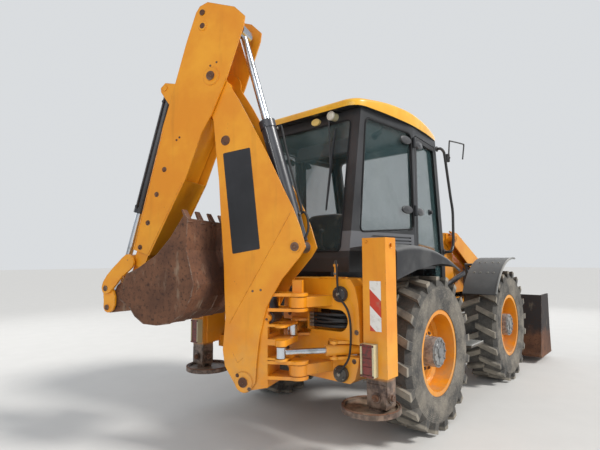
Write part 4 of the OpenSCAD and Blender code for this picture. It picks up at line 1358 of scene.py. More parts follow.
@dataclass
class Cab:
    """Roof, rear mudguards and trim of the cab: hinges, knobs, wiper, lamps, window seals and aerial."""

    wall_mid: float = 0.790
    wall_slope: tuple[float, float] = (0.0833, -0.095)
    wall_bend_x: float = 0.200
    hinge_z: tuple[float, float] = (2.760, 2.050)
    leaf_x: tuple[float, float] = (0.050, 0.345)
    leaf_half: tuple[float, float] = (0.098, 0.040)
    latch: tuple[float, float] = (0.72, 2.08)
    handle_z: float = 1.522
    top_z: float = 2.930
    guard_y: float = 1.146
    guard_bend: float = 0.062
    guard_top: tuple[tuple[float, float], ...] = (
        (-0.870, 1.652), (-0.690, 1.676), (-0.500, 1.680), (-0.300, 1.668), (-0.100, 1.642), (0.060, 1.606),
        (0.200, 1.566), (0.330, 1.520), (0.440, 1.474),
    )
    guard_skirt: tuple[tuple[float, float], ...] = (
        (-0.870, 1.395), (-0.500, 1.470), (-0.200, 1.502), (0.000, 1.515), (0.200, 1.500), (0.440, 1.446),
    )

    def slope(self, x: float) -> float:
        """Slope of the cab's wall at a place along it."""
        return self.wall_slope[0 if x < self.wall_bend_x else 1]

    def wall_y(self, x: float) -> float:
        """Half width over the cab's walls at a place along it."""
        return self.wall_mid + (x - self.wall_bend_x) * self.slope(x)

    def rear_x(self, z: float, out: float = 0.0) -> float:
        """Place of the rear wall at a height, with a distance out from it."""
        return -0.870 + 0.200 * (z - 1.570) / (self.top_z - 1.570) - out

    def rear(self, *points: Point) -> list[Vector]:
        """Points given by their place across, height and distance out from the rear wall."""
        return [place(self.rear_x(z, out), y, z) for y, z, out in points]

    def leaf(self, side: int, x: float, z: float) -> Work:
        """Oval hinge plate that lies on the wall.

        Args:
            side: 1 for the left, -1 for the right.
            x: Place along the cab.
            z: Height.

        Returns:
            The piece.
        """
        long, high = self.leaf_half
        work = Work.rod((0, 0, 0), (0, 0.014, 0), 1.0, 28)
        work.reshape(lambda v: Vector((v.x * long, v.y, v.z * high)))
        work.facing(OUT).inset(0.010, 0.004)
        work.bevel(0.003, 2)
        work.turn(math.degrees(math.atan(self.slope(x))), "Z", (0, 0, 0))
        return work.move(place(x, self.wall_y(x) - 0.001, z)).on_side(side)

    def hinges(self, d: Dresser) -> None:
        """Double oval hinges on both sides, with a black barrel between their leaves."""
        grey = Enamel("hinge_enamel", linear(46, 47, 50), linear(84, 84, 84), linear(140, 136, 128), wear=0.6)
        for side, word in SIDES:
            fixed, moving = ([self.leaf(side, x, z) for z in self.hinge_z] for x in self.leaf_x)
            for z in self.hinge_z:
                for x, group in zip(self.leaf_x, (fixed, moving)):
                    at = place(x, side * (self.wall_y(x) + 0.012), z)
                    group.append(bolt(at, (0, side, 0), 0.011, 0.008))
            d.fit(fixed, f"hinge_leaves_{word}", "chassis", Slot.PLASTIC, grey)
            d.fit(moving, f"door_hinge_leaves_{word}", f"door_{word}", Slot.PLASTIC, grey)
            y = side * (self.wall_y(0.21) + 0.017)
            barrels = [
                Work.rod(place(0.20, y, z - 0.055), place(0.20, y, z + 0.055), 0.017, 20).bevel(0.003, 2)
                for z in self.hinge_z
            ]
            d.fit(barrels, f"hinge_barrels_{word}", "chassis", Slot.BLACK, PLASTIC)

    def knobs(self, d: Dresser) -> None:
        """Latch knobs and door handles."""
        x, z = self.latch
        for side, word in SIDES:
            y = self.wall_y(x) - 0.030
            knob = Work.rod(place(x, side * y, z), place(x, side * (y + 0.040), z), 0.020, 20).bevel(0.006, 3)
            plate = Work.rod(place(x, side * (y - 0.002), z), place(x, side * (y + 0.010), z), 0.034, 24)
            d.fit([knob, plate.bevel(0.003, 2)], f"glass_latch_{word}", f"door_{word}", Slot.PLASTIC, PLASTIC)
            y, low = self.wall_y(0.40) - 0.002, self.handle_z
            bends = ((0.30, y), (0.315, y + 0.034), (0.455, y + 0.034), (0.47, y - 0.003))
            grip = Work.tube([place(u, side * v, low) for u, v in bends], 0.009, 3, soft=False)
            lock = Work.rod(place(0.52, side * (y - 0.010), low), place(0.52, side * (y + 0.008), low), 0.013, 20)
            d.fit([grip, lock.bevel(0.002, 2)], f"door_handle_{word}", f"door_{word}", Slot.BLACK, PLASTIC)

    def wiper(self, d: Dresser) -> None:
        """Rear wiper, hanging from its motor on the header."""
        motor = Work.rod(*self.rear((-0.40, 2.875, -0.004), (-0.40, 2.875, 0.050)), 0.030, 20).bevel(0.006, 2)
        arm = Work.tube(self.rear((-0.40, 2.870, 0.046), (-0.41, 2.80, 0.052), (-0.445, 2.42, 0.034)), 0.007, 2)
        rail = Work.tube(self.rear((-0.462, 2.76, 0.022), (-0.445, 2.42, 0.030), (-0.428, 2.02, 0.022)), 0.006, 2)
        corners = ((-0.462, 2.78, 0.0), (-0.462, 2.78, 0.020), (-0.426, 2.00, 0.020), (-0.426, 2.00, 0.0))
        blade = Work.outline(self.rear(*corners), (0, 0.006, 0))
        d.fit([motor, arm, rail, blade.bevel(0.001, 1)], "rear_wiper", "chassis", Slot.BLACK, PLASTIC)

    def header_lamps(self, d: Dresser) -> None:
        """Work lamps behind their bars, and the oval marker lamp, on the rear header."""
        shell = Flat("lamp_bezel", linear(196, 190, 176), 0.4)
        lens = Flat("lamp_lens", linear(226, 222, 206), 0.12)
        cream = Flat("marker_lens", linear(236, 208, 128), 0.2)
        z = self.top_z - 0.047
        x = self.rear_x(z) + 0.003
        for side, word in SIDES:
            y, middle = side * 0.44, place(-0.750, 0, 0).x
            ring = Work.ring(place(-0.756, y, z + 0.002), (1, 0, 0), 0.038, 0.006)
            dome = Work.ball(place(-0.750, y, z + 0.002), 0.034, 20)
            dome.reshape(lambda v: Vector((middle + (v.x - middle) * 0.35, v.y, v.z)))
            bars = [
                Work.rod(place(-0.764, y + k, z - 0.022), place(-0.764, y + k, z + 0.026), 0.0016, 8)
                for k in (-0.016, 0.0, 0.016)
            ]
            d.fit([ring, *bars], f"work_lamp_rim_{word}", "chassis", Slot.LAMP, shell)
            d.fit(dome, f"work_lamp_lens_{word}", "chassis", Slot.LAMP, lens)
        body = Work.rod(place(x, -0.215, z), place(x - 0.030, -0.215, z), 0.034, 28)
        body.reshape(lambda v: Vector((v.x, (v.y + 0.215) * 1.5 - 0.215, v.z)))
        body.facing(BACK).inset(0.006, -0.004)
        d.fit(body.bevel(0.004, 3), "marker_lamp", "chassis", Slot.LAMP, cream)

    def gaskets(self, d: Dresser) -> None:
        """Rubber seals round the fixed windows."""
        seal = Flat("window_rubber", linear(20, 20, 22), 0.7)
        outline = [(-0.712, 1.800), (-0.608, 2.842), (0.153, 2.842), (0.174, 1.860)]
        loops = [
            (f"side_window_seal_{word}",
             [place(x, side * (self.wall_y(x) + 0.0015), z) for x, z in rounded_loop(outline, 0.060)])
            for side, word in SIDES
        ]
        rear = rounded_loop([(-0.602, 1.630), (0.602, 1.630), (0.616, 2.832), (-0.616, 2.832)], 0.050)
        loops.append(("rear_window_seal", self.rear(*((y, z, 0.0015) for y, z in rear))))
        for name, points in loops:
            d.fit(Work.tube([*points, points[0]], 0.008, 2, soft=False), name, "chassis", Slot.BLACK, seal)

    def roof_fittings(self, d: Dresser) -> None:
        """Aerial and beacon socket."""
        foot = Work.rod(place(0.80, -0.56, 3.030), place(0.80, -0.56, 3.062), 0.022, 20, 0.012).bevel(0.003, 2)
        whip = Work.tube(places(((0.80, -0.56, 3.055), (0.76, -0.575, 3.16))), 0.003, 2, soft=False)
        socket = Work.rod(place(0.70, -0.66, 2.995), place(0.70, -0.66, 3.065), 0.016, 16).bevel(0.003, 2)
        d.fit([foot, whip, socket], "aerial", "chassis", Slot.BLACK, PLASTIC)

    def roof(self, d: Dresser) -> None:
        """Domed roof whose rim is arched along each side."""
        half = [(-0.775, 0.738), (-0.310, 0.790), (0.150, 0.810), (0.570, 0.780), (0.990, 0.717)]
        plan = rounded_loop([*half, *((x, -y) for x, y in reversed(half))], 0.150, 7)
        low, rim = self.top_z + 0.0012, 0.020
        work = Work.outline([place(x, y, low) for x, y in plan], (0, 0, rim))
        for border, rise in ((0.0015, 0.010), (0.004, 0.009), (0.009, 0.008), (0.016, 0.007), (0.026, 0.007)):
            work.facing(UP, 0.999).inset(border, rise)
        for factor, rise in ((0.90, 0.011), (0.85, 0.012), (0.78, 0.010), (0.68, 0.007), (0.50, 0.004)):
            work.facing(UP, 0.999).inset(0.001, rise)
            work.facing(UP, 0.999).grow((factor, factor, 1.0))

        def arch(v: Vector) -> Vector:
            """Lifts a point over the rim by the arches along and across."""
            along, across = v.x - place(0.08, 0, 0).x, v.y
            lift = 0.085 * max(0.0, 1.0 - (along / 0.86) ** 2) + 0.034 * max(0.0, 1.0 - (across / 0.74) ** 2)
            return v + Vector((0, 0, lift * min(1.0, max(0.0, (v.z - low) / rim))))

        # The roof's finish carries painted sunlight on its top and painted shade on its underside.
        d.fit(work.reshape(arch), "roof_cap", "chassis", Slot.YELLOW, ROOF_PAINTED_LIGHT, 50.0, ("cab_roof",))

    def guard_point(self, u: float, v: float) -> Vector:
        """Point of a rear mudguard: along the wheel, then from the cab's wall out and down.

        Args:
            u: Share along the wheel.
            v: Share across the panel.

        Returns:
            The point.
        """
        x = -0.866 + 1.302 * u
        edge = sum(height_at(self.guard_top, x + k) for k in (-0.06, -0.03, 0.0, 0.03, 0.06)) / 5 - 0.004
        inner, bend = self.wall_y(x) + 0.008, self.guard_bend
        if v < 0.5:
            t = v / 0.5
            y = inner + (self.guard_y - bend - inner) * t
            return place(x, y, edge + 0.014 * math.sin(math.pi * t) * (1 - 0.3 * u))
        if v < 0.8:
            a = (v - 0.5) / 0.3 * math.pi / 2
            return place(x, self.guard_y - bend + bend * math.sin(a), edge - bend * 0.7 * (1 - math.cos(a)))
        t, start = (v - 0.8) / 0.2, edge - bend * 0.7
        low = min(height_at(self.guard_skirt, x), start - 0.006)
        return place(x, self.guard_y - 0.004 * t, start + (low - start) * t)

    def fenders(self, d: Dresser) -> None:
        """Moulded rear mudguards with a rounded outer edge and a skirt."""
        for side, word in SIDES:
            panel = Work.sheet(44, 30, self.guard_point, 0.007).on_side(side)
            stands_for = ("rear_mudguards",) if side > 0 else ()
            d.fit(panel, f"rear_fender_{word}", "chassis", Slot.PLASTIC, GUARD, 50.0, stands_for)

    def build(self, d: Dresser) -> None:
        """Builds and dresses the trim."""
        self.roof(d)
        self.fenders(d)
        self.hinges(d)
        self.knobs(d)
        self.wiper(d)
        self.header_lamps(d)
        self.gaskets(d)
        self.roof_fittings(d)


@dataclass
class Seat:
    """Operator's seat: crowned cushions with piped seams on a bellows base."""

    half: float = 0.235
    arm_y: float = 0.262

    def cushion(self, low: Point, high: Point, crown: float, channels: Sequence[float], axis: int) -> Work:
        """Stuffed pad: a rounded block with a crown and sewn channels.

        Args:
            low: Lowest corner.
            high: Highest corner.
            crown: Rise in the middle.
            channels: Where channels run, as shares of the width.
            axis: Axis that the channels are measured on.

        Returns:
            The pad.
        """
        work = Work.block(low, high).edit(lambda: bpy.ops.mesh.subdivide(number_cuts=14))
        a, b = Vector(low), Vector(high)
        mid, half = (a + b) / 2, (b - a) / 2
        thin = min(range(3), key=lambda i: half[i])

        def swell(v: Vector) -> Vector:
            """Pulls the sides in between the corners, raises the crown and sinks the channels."""
            n = Vector([(v[i] - mid[i]) / half[i] for i in range(3)])
            out = v.copy()
            for i in range(3):
                j, k = (i + 1) % 3, (i + 2) % 3
                pull = 1.0 - 0.10 * (n[j] ** 4 + n[k] ** 4) / 2
                out[i] = mid[i] + half[i] * n[i] * pull
            j, k = (i for i in range(3) if i != thin)
            bulge = crown * max(0.0, 1 - n[j] ** 2) * max(0.0, 1 - n[k] ** 2)
            groove = sum(math.exp(-(((n[axis] + 1) / 2 - c) * 2 * half[axis] / 0.010) ** 2) for c in channels)
            out[thin] += (bulge - 0.009 * min(groove, 1.0)) * (1 if n[thin] > 0 else -0.3) * abs(n[thin])
            return out

        return work.reshape(swell).bevel(0.016, 3, 60.0).modify("SUBSURF", levels=1, render_levels=1)

    def build(self, d: Dresser) -> None:
        """Builds and dresses the seat."""
        half, arm_y, cloth = self.half, self.arm_y, Cloth()
        squab = self.cushion(place(-0.165, -half, 1.345), place(0.270, half, 1.450), 0.022, (0.18, 0.82), 1)
        seat = d.fit(squab, "seat_cushion", "chassis", Slot.SEAT, cloth, 60.0, ("operator_seat",))
        low, high = place(-0.215, -half + 0.01, 1.475), place(-0.115, half - 0.01, 2.040)
        back = self.cushion(low, high, 0.020, (0.2, 0.8), 1).turn(-8.0, "Y", place(-0.165, 0, 1.46))
        rest = d.fit(back, "seat_back", "chassis", Slot.SEAT, cloth, 60.0)
        shell = Work.block(place(-0.175, -half, 1.322), place(0.270, half, 1.346)).bevel(0.010, 3)
        folds = [
            Work.block(place(-0.118 - k, -0.178 - k, z), place(0.212 + k, 0.178 + k, z + 0.024)).bevel(0.008, 2)
            for z, k in ((1.070 + 0.0252 * i, 0.007 * (i % 2)) for i in range(10))
        ]
        d.fit([shell, *folds], "seat_base", "chassis", Slot.PLASTIC, PLASTIC)
        arms = []
        for side in (-1, 1):
            y = side * arm_y
            arms.append(Work.block(place(-0.13, y - 0.026, 1.640), place(0.17, y + 0.026, 1.690)).bevel(0.018, 4))
            arms.append(Work.tube(places(((-0.12, y, 1.645), (-0.14, side * 0.25, 1.50))), 0.012, 3))
        d.fit(arms, "seat_armrests", "chassis", Slot.PLASTIC, PLASTIC)


@dataclass
class Stabilisers:
    """Trim of the rear frame and its legs: stripe plates, lamp ribs, shoe pins and feet."""

    leg_x: float = -1.022
    tube_y: tuple[float, float] = (0.980, 1.180)
    shoe_z: float = 0.545
    plate: tuple[float, float, float, float] = (1.042, 1.138, 1.026, 1.396)

    def stripes(self, d: Dresser) -> None:
        """Red and white warning plates on the tubes' rear faces."""
        y0, y1, z0, z1 = self.plate
        for side, word in SIDES:
            work = Work.block(place(-1.1032, y0, z0), place(-1.0998, y1, z1)).bevel(0.001, 1).on_side(side)
            d.fit(work, f"warning_plate_{word}", "chassis", Slot.LAMP, StripePlate())

    def shoes(self, d: Dresser) -> None:
        """Pins of the shoes, and rims on the feet."""
        for side, word in SIDES:
            parts = [
                pin_head(place(self.leg_x, side * y, self.shoe_z), (0, side * aim, 0), 0.024, 0.016)
                for y, aim in ((self.tube_y[1] - 0.008, 1), (self.tube_y[0] + 0.008, -1))
            ]
            parts.append(pin_head(place(-1.104, side * 1.08, self.shoe_z), BACK, 0.026, 0.014))
            d.fit(parts, f"shoe_pins_{word}", f"stabiliser_{word}", Slot.WORN, PIN_STEEL)
            middle = place(self.leg_x, side * 0.990, 0.459)
            route = [middle + Vector((0.219 * c, 0.219 * s, 0)) for c, s in circle(25, step=15)]
            rim = Work.tube(route, 0.007, 2, soft=False)
            d.fit(rim, f"foot_rim_{word}", f"stabiliser_{word}", Slot.WORN, BUCKET)

    def trim(self, d: Dresser) -> None:
        """A bolt and a lifting hole's ring on each tube, and the tail lamps' screws and ribs."""
        dark_red = Flat("lamp_ribs", linear(74, 16, 16), 0.3)
        for side, word in SIDES:
            ring = Work.ring(place(self.leg_x, side * 1.1795, 1.660), OUT, 0.021, 0.004)
            parts = [ring, bolt(place(-1.1000, side * 1.02, 1.690), BACK, 0.009)]
            d.fit(parts, f"tube_fittings_{word}", "chassis", Slot.YELLOW, ENAMEL)
            ribs = [
                Work.rod(place(-1.1605, side * 1.010, z), place(-1.1605, side * 1.085, z), 0.0022, 8)
                for z in (0.775, 0.836)
            ]
            screws = [
                bolt(place(-1.165, side * y, z), BACK, 0.005, 0.004) for y in (0.997, 1.098) for z in (0.709, 0.926)
            ]
            d.fit([*ribs, *screws], f"tail_lamp_ribs_{word}", "chassis", Slot.LAMP, dark_red)

    def build(self, d: Dresser) -> None:
        """Builds and dresses the trim."""
        self.stripes(d)
        self.shoes(d)
        self.trim(d)


@dataclass
class Carriage:
    """Hoses, clamp caps and pins of the side-shift carriage."""

    y: float = -0.555
    face_x: float = -1.0998
    clamp_y: tuple[float, float] = (-0.230, 0.230)
    clamp_z: tuple[float, float] = (1.286, 0.677)
    inner_hose_z: tuple[float, ...] = (1.045, 1.075, 1.105)
    outer_hose_z: tuple[float, ...] = (1.030, 1.060, 1.090, 1.120)

    def at(self, x: float, y: float, z: float) -> Vector:
        """Point given from the carriage's middle."""
        return place(x, self.y + y, z)

    def along(self, *points: Point) -> list[Vector]:
        """Several such points."""
        return [self.at(*p) for p in points]

    def valve_hoses(self, d: Dresser) -> None:
        """Ribbed hoses that come out of the opening, with bright ferrules at the fitting plate."""
        hoses, ferrules = [], []
        for z in self.inner_hose_z:
            route = self.along(
                (-0.930, -0.268, z), (-1.010, -0.252, z), (-1.060, -0.205, z - 0.006),
                (-1.086, -0.140, z + 0.006), (-1.094, -0.060, z), (-1.096, 0.020, z),
            )
            hoses.append(Work.tube(route, 0.0135, 3, 0.012))
        for i, z in enumerate(self.outer_hose_z):
            wave = 0.010 * math.sin(i * 2.1)
            route = self.along(
                (-0.926, -0.278, z), (-1.020, -0.268, z + wave * 0.4), (-1.078, -0.235, z + wave),
                (-1.112, -0.170, z + wave), (-1.126, -0.085, z), (-1.128, 0.000, z), (-1.128, 0.030, z),
            )
            hoses.append(Work.tube(route, 0.0147, 3, 0.012))
            sleeve = Work.rod(self.at(-1.128, 0.022, z), self.at(-1.128, 0.050, z), 0.0150, 20)
            nut = Work.rod(self.at(-1.128, 0.048, z), self.at(-1.128, 0.0655, z), 0.0165, 6)
            ferrules += [sleeve.bevel(0.002, 2), nut.bevel(0.0015, 1)]
        d.fit(hoses, "valve_hoses", "carriage", Slot.BLACK, Hose(), 50.0, ("clamps_and_hoses",))
        d.fit(ferrules, "hose_ferrules", "carriage", Slot.CHROME, BRIGHT)

    def clamps(self, d: Dresser) -> None:
        """Black clamp caps with their bright unions, and the small hoses that join them."""
        black = Enamel("cap_enamel", linear(24, 24, 26), linear(48, 47, 46), rough=0.42, wear=0.3)
        caps, unions = [], []
        for y, z in ((y, z) for y in self.clamp_y for z in self.clamp_z):
            middle = self.at(-1.142, y, z)
            cap = Work.rod(self.at(self.face_x, y, z), middle, 0.060, 40)
            cap.facing(BACK).inset(0.012, 0.0)
            cap.pick_faces(lambda c, n, at=middle: n.x < -0.9 and (c - at).length < 0.03).inset(0.004, 0.009)
            caps += [cap.bevel(0.003, 2), Work.ring(self.at(-1.121, y, z), (1, 0, 0), 0.0605, 0.0035)]
            for x0, x1, radius, sides in ((-1.149, -1.158, 0.0175, 6), (-1.157, -1.164, 0.009, 16)):
                unions.append(Work.rod(self.at(x0, y, z), self.at(x1, y, z), radius, sides).bevel(0.002, 1))
            for c, s in circle(4, 45):
                unions.append(bolt(self.at(-1.1425, y + 0.044 * c, z + 0.044 * s), BACK, 0.0055, 0.005))
        d.fit(caps, "clamp_caps", "carriage", Slot.BLACK, black)
        d.fit(unions, "clamp_unions", "carriage", Slot.CHROME, BRIGHT)
        hose = self.along(
            (-1.153, -0.230, 1.286), (-1.156, -0.252, 1.256), (-1.140, -0.316, 1.160), (-1.132, -0.334, 1.000),
            (-1.136, -0.318, 0.820), (-1.153, -0.262, 0.722), (-1.153, -0.230, 0.684),
        )
        arch = self.along(
            (-1.062, -0.145, 1.512), (-1.075, -0.158, 1.545), (-1.112, -0.192, 1.500),
            (-1.146, -0.222, 1.400), (-1.152, -0.230, 1.310), (-1.150, -0.230, 1.292),
        )
        tubes = [Work.tube(route, 0.0085, 3) for route in (hose, arch)]
        d.fit(tubes, "clamp_hoses", "carriage", Slot.BLACK, Hose())

    def fittings(self, d: Dresser) -> None:
        """Bolts on the carriage's face, the kingpost's pin heads and the small post's union."""
        parts = [
            bolt(self.at(self.face_x, y, z), BACK, 0.013, 0.012)
            for y, z in ((0.320, 1.10), (0.320, 0.93), (-0.365, 1.00), (0.345, 0.80), (-0.340, 0.78))
        ]
        parts += [pin_head(self.at(-1.360, 0.0, z), UP, 0.045, 0.018) for z in (1.272, 0.762)]
        d.fit(parts, "carriage_bolts", "carriage", Slot.WORN, PIN_STEEL)
        hexagons = [
            Work.rod(self.at(-1.062, -0.145, low), self.at(-1.062, -0.145, high), radius, 6).bevel(0.002, 1)
            for low, high, radius in ((1.516, 1.540, 0.013), (1.434, 1.450, 0.020))
        ]
        d.fit(hexagons, "post_union", "carriage", Slot.CHROME, BRIGHT)

    def build(self, d: Dresser) -> None:
        """Builds and dresses the trim."""
        self.valve_hoses(d)
        self.clamps(d)
        self.fittings(d)


@dataclass
class Digger:
    """Trim of the boom, dipper and their rams: blank panel, pins, weld beads, hoses and the lifting loop."""

    boom_half: float = 0.135
    dipper_half: float = 0.158
    hose_n: float = 0.1047
    panel: tuple[tuple[float, float], ...] = ((0.603, 2.427), (0.354, 2.452), (0.262, 1.641), (0.506, 1.604))
    ram_foot: tuple[float, float] = (-0.032, 1.655)
    ram_eye: tuple[float, float] = (0.505, 3.494)
    hose_route: tuple[tuple[float, float], ...] = (
        (0.190, 1.430), (0.108, 1.585), (0.080, 1.690), (0.085, 1.880), (0.135, 2.040),
        (0.300, 2.365), (0.445, 2.650), (0.572, 2.905), (0.612, 2.952), (0.650, 2.975),
    )
    bucket_edge: tuple[tuple[float, float], ...] = (
        (1.392, 1.365), (1.413, 1.242), (1.307, 1.179), (1.254, 1.114), (1.168, 1.059), (1.037, 1.053),
        (0.910, 1.072), (0.787, 1.153), (0.728, 1.262), (0.700, 1.370), (0.732, 1.496), (0.773, 1.637),
    )

    def seam(self, n: float, points: Iterable[Point]) -> list[Vector]:
        """Points in the digger's plane, at a distance to its right."""
        return [on_digger(u, n, z) for u, z in points]

    def label_panel(self, d: Dresser) -> None:
        """Blank black panel on the boom's right face."""
        push = on_digger(0, 0.0016, 0) - on_digger(0, 0, 0)
        work = Work.outline(self.seam(self.boom_half - 0.0004, rounded_loop(self.panel, 0.012, 3)), push)
        finish = Enamel("panel_film", linear(22, 22, 25), linear(40, 40, 44), YELLOW, 0.3, 0.25, 0.35)
        d.fit(work, "boom_blank_panel", "boom", Slot.BLACK, finish)

    def heads(self, *pins: Point) -> list[Work]:
        """Pin heads on both sides, each from its place, distance from the middle, radius and height."""
        return [
            pin_head(on_digger(u, side * n, z), side_of_digger(side), radius, height)
            for side in (-1, 1) for u, n, z, radius, height in pins
        ]

    def bolts(self, side: int, n: float, spots: Iterable[Point], radius: float, height: float) -> list[Work]:
        """Bolts of one size on one side, at places in the digger's plane."""
        return [bolt(on_digger(u, side * n, z), side_of_digger(side), radius, height) for u, z in spots]

    def pins(self, d: Dresser) -> None:
        """Pin ends, keeper bolts and side bolts on both faces of the boom, dipper and linkage."""
        boom, dipper = [], []
        for side in (-1, 1):
            aim = side_of_digger(side)
            boom.append(pin_head(on_digger(0.398, side * 0.1505, 0.620), aim, 0.038, 0.008))
            boom.append(pin_head(on_digger(-0.032, side * 0.1405, 1.655), aim, 0.034, 0.010))
            boom += self.bolts(side, 0.1445, ((0.450, 0.667), (0.346, 0.573)), 0.010, 0.009)
            boom.append(Work.ring(on_digger(0.581, side * 0.1352, 2.533), aim, 0.036, 0.006))
            disc = on_digger(0.581, side * 0.1350, 2.533), on_digger(0.581, side * 0.1368, 2.533)
            boom.append(Work.rod(*disc, 0.031, 28))
            boom += self.bolts(side, self.boom_half, ((0.325, 1.315), (0.255, 1.325), (0.205, 1.105)), 0.006, 0.004)
            dipper.append(pin_head(on_digger(0.709, side * 0.1715, 3.087), aim, 0.038, 0.010))
            for u, z in ((0.806, 3.662), (0.801, 3.542)):
                end = Work.rod(on_digger(u, side * 0.157, z), on_digger(u, side * 0.168, z), 0.026, 24)
                dipper.append(end.bevel(0.004, 2))
            guides = ((1.172, 2.335), (1.248, 2.123), (1.336, 1.880), (1.415, 1.669))
            dipper += self.bolts(side, self.dipper_half, guides, 0.015, 0.016)
            small = ((0.66, 3.20), (0.72, 3.18), (1.02, 2.60), (1.05, 2.58))
            dipper += self.bolts(side, self.dipper_half, small, 0.006, 0.004)
        d.fit(boom, "boom_pins", "boom", Slot.WORN, PIN_STEEL)
        d.fit(dipper, "dipper_pins", "dipper", Slot.WORN, PIN_STEEL)
        lever = self.heads((1.523, 0.1745, 1.560, 0.024, 0.008))
        d.fit(lever, "lever_pins", "tipping_lever", Slot.WORN, PIN_STEEL)
        link = self.heads((1.768, 0.1815, 1.310, 0.024, 0.008), (1.761, 0.1675, 1.142, 0.024, 0.008))
        d.fit(link, "link_pins", "tipping_link", Slot.WORN, PIN_STEEL)

    def welds(self, d: Dresser) -> None:
        """Weld beads round the bosses and along the folded seams."""
        for side, word in ((-1, "left"), (1, "right")):
            aim = side_of_digger(side)
            face = side * self.boom_half
            parts = [
                bead(self.seam(face, ((0.526, 1.061), (0.250, 1.512), (-0.008, 1.935))), 0.0042),
                Work.ring(on_digger(0.398, side * 0.1360, 0.620), aim, 0.0775, 0.004, 56),
                Work.ring(on_digger(-0.032, side * 0.1356, 1.655), aim, 0.0475, 0.0035, 48),
                bead(self.seam(face, ((0.500, 0.835), (0.455, 0.760), (0.405, 0.800))), 0.0028),
            ]
            d.fit(parts, f"boom_welds_{word}", "boom", Slot.YELLOW, ENAMEL)
            face = side * self.dipper_half
            parts = [
                bead(self.seam(face, ((0.985, 2.210), (1.325, 1.612))), 0.0045),
                bead(self.seam(face, ((1.478, 1.665), (1.196, 2.680))), 0.0045),
                Work.ring(on_digger(0.709, side * 0.1592, 3.087), aim, 0.0755, 0.004, 56),
                Work.ring(on_digger(0.801, side * 0.1592, 3.542), aim, 0.0415, 0.0035, 48),
            ]
            d.fit(parts, f"dipper_welds_{word}", "dipper", Slot.YELLOW, ENAMEL)

    def hoses(self, d: Dresser) -> None:
        """Hoses that run up inside the boom's plates, with their clamps."""
        hoses, clamps = [], []
        for side in (-1, 1):
            n = side * self.hose_n
            for i in range(2):
                route = [on_digger(u + i * 0.036, n, z - i * 0.014) for u, z in self.hose_route]
                hoses.append(Work.tube(route, 0.0118, 3))
            for u, z in ((0.135, 2.020), (0.305, 2.360), (0.470, 2.690)):
                clamp = Work.rod(on_digger(u - 0.022, n, z + 0.012), on_digger(u + 0.058, n, z - 0.020), 0.0155, 12)
                clamps.append(clamp.bevel(0.003, 2))
        d.fit(hoses, "dipper_hoses", "boom", Slot.BLACK, Hose(), 50.0, ("boom_hoses",))
        d.fit(clamps, "hose_clamps", "boom", Slot.BLACK, PLASTIC)

    def ram_hoses(self, d: Dresser) -> None:
        """Hoses along the dipper ram's barrel, with their unions."""
        foot = Vector(self.ram_foot)
        along = (Vector(self.ram_eye) - foot).normalized()
        across = Vector((-along.y, along.x))

        def spot(t: float, off: float, n: float) -> Vector:
            """Point given along the ram from its foot, across it, and to the digger's right."""
            at = foot + along * t + across * off
            return on_digger(at.x, n, at.y)

        routes = (
            ((0.250, 0.071, 0.020), (0.252, 0.105, 0.022), (0.205, 0.122, 0.030), (0.120, 0.112, 0.040),
             (0.060, 0.080, 0.060), (0.030, 0.050, 0.080)),
            ((1.000, 0.074, -0.020), (1.010, 0.098, -0.020), (0.960, 0.104, -0.014), (0.700, 0.090, -0.008),
             (0.400, 0.086, -0.004), (0.300, 0.088, 0.004), (0.262, 0.074, 0.004)),
        )
        tubes = [Work.tube([spot(*p) for p in route], 0.0095, 3) for route in routes]
        d.fit(tubes, "dipper_ram_hoses", "dipper_ram_barrel", Slot.BLACK, Hose())
        unions = [
            Work.rod(spot(t, 0.058, n), spot(t, 0.078, n), 0.014, 6).bevel(0.002, 1)
            for t, n in ((0.250, 0.020), (1.000, -0.020))
        ]
        d.fit(unions, "dipper_ram_unions", "dipper_ram_barrel", Slot.CHROME, BRIGHT)

    def bucket_trim(self, d: Dresser) -> None:
        """Lifting loop, weld beads and wear strips of the digging bucket."""
        loop = Work.ring(on_digger(1.500, 0.0, 1.095), side_of_digger(1), 0.042, 0.011, 32)
        beads = [bead(self.seam(side * 0.379, self.bucket_edge), 0.005) for side in (-1, 1)]
        sole = self.bucket_edge[4:9]
        strips = [Work.tube(self.seam(n, sole), 0.006, 1, soft=False) for n in (-0.20, 0.0, 0.20)]
        d.fit([loop, *beads, *strips], "bucket_trim", "digging_bucket", Slot.WORN, BUCKET)

    def build(self, d: Dresser) -> None:
        """Builds and dresses the digger's trim."""
        self.label_panel(d)
        self.pins(d)
        self.welds(d)
        self.hoses(d)
        self.ram_hoses(d)
        self.bucket_trim(d)


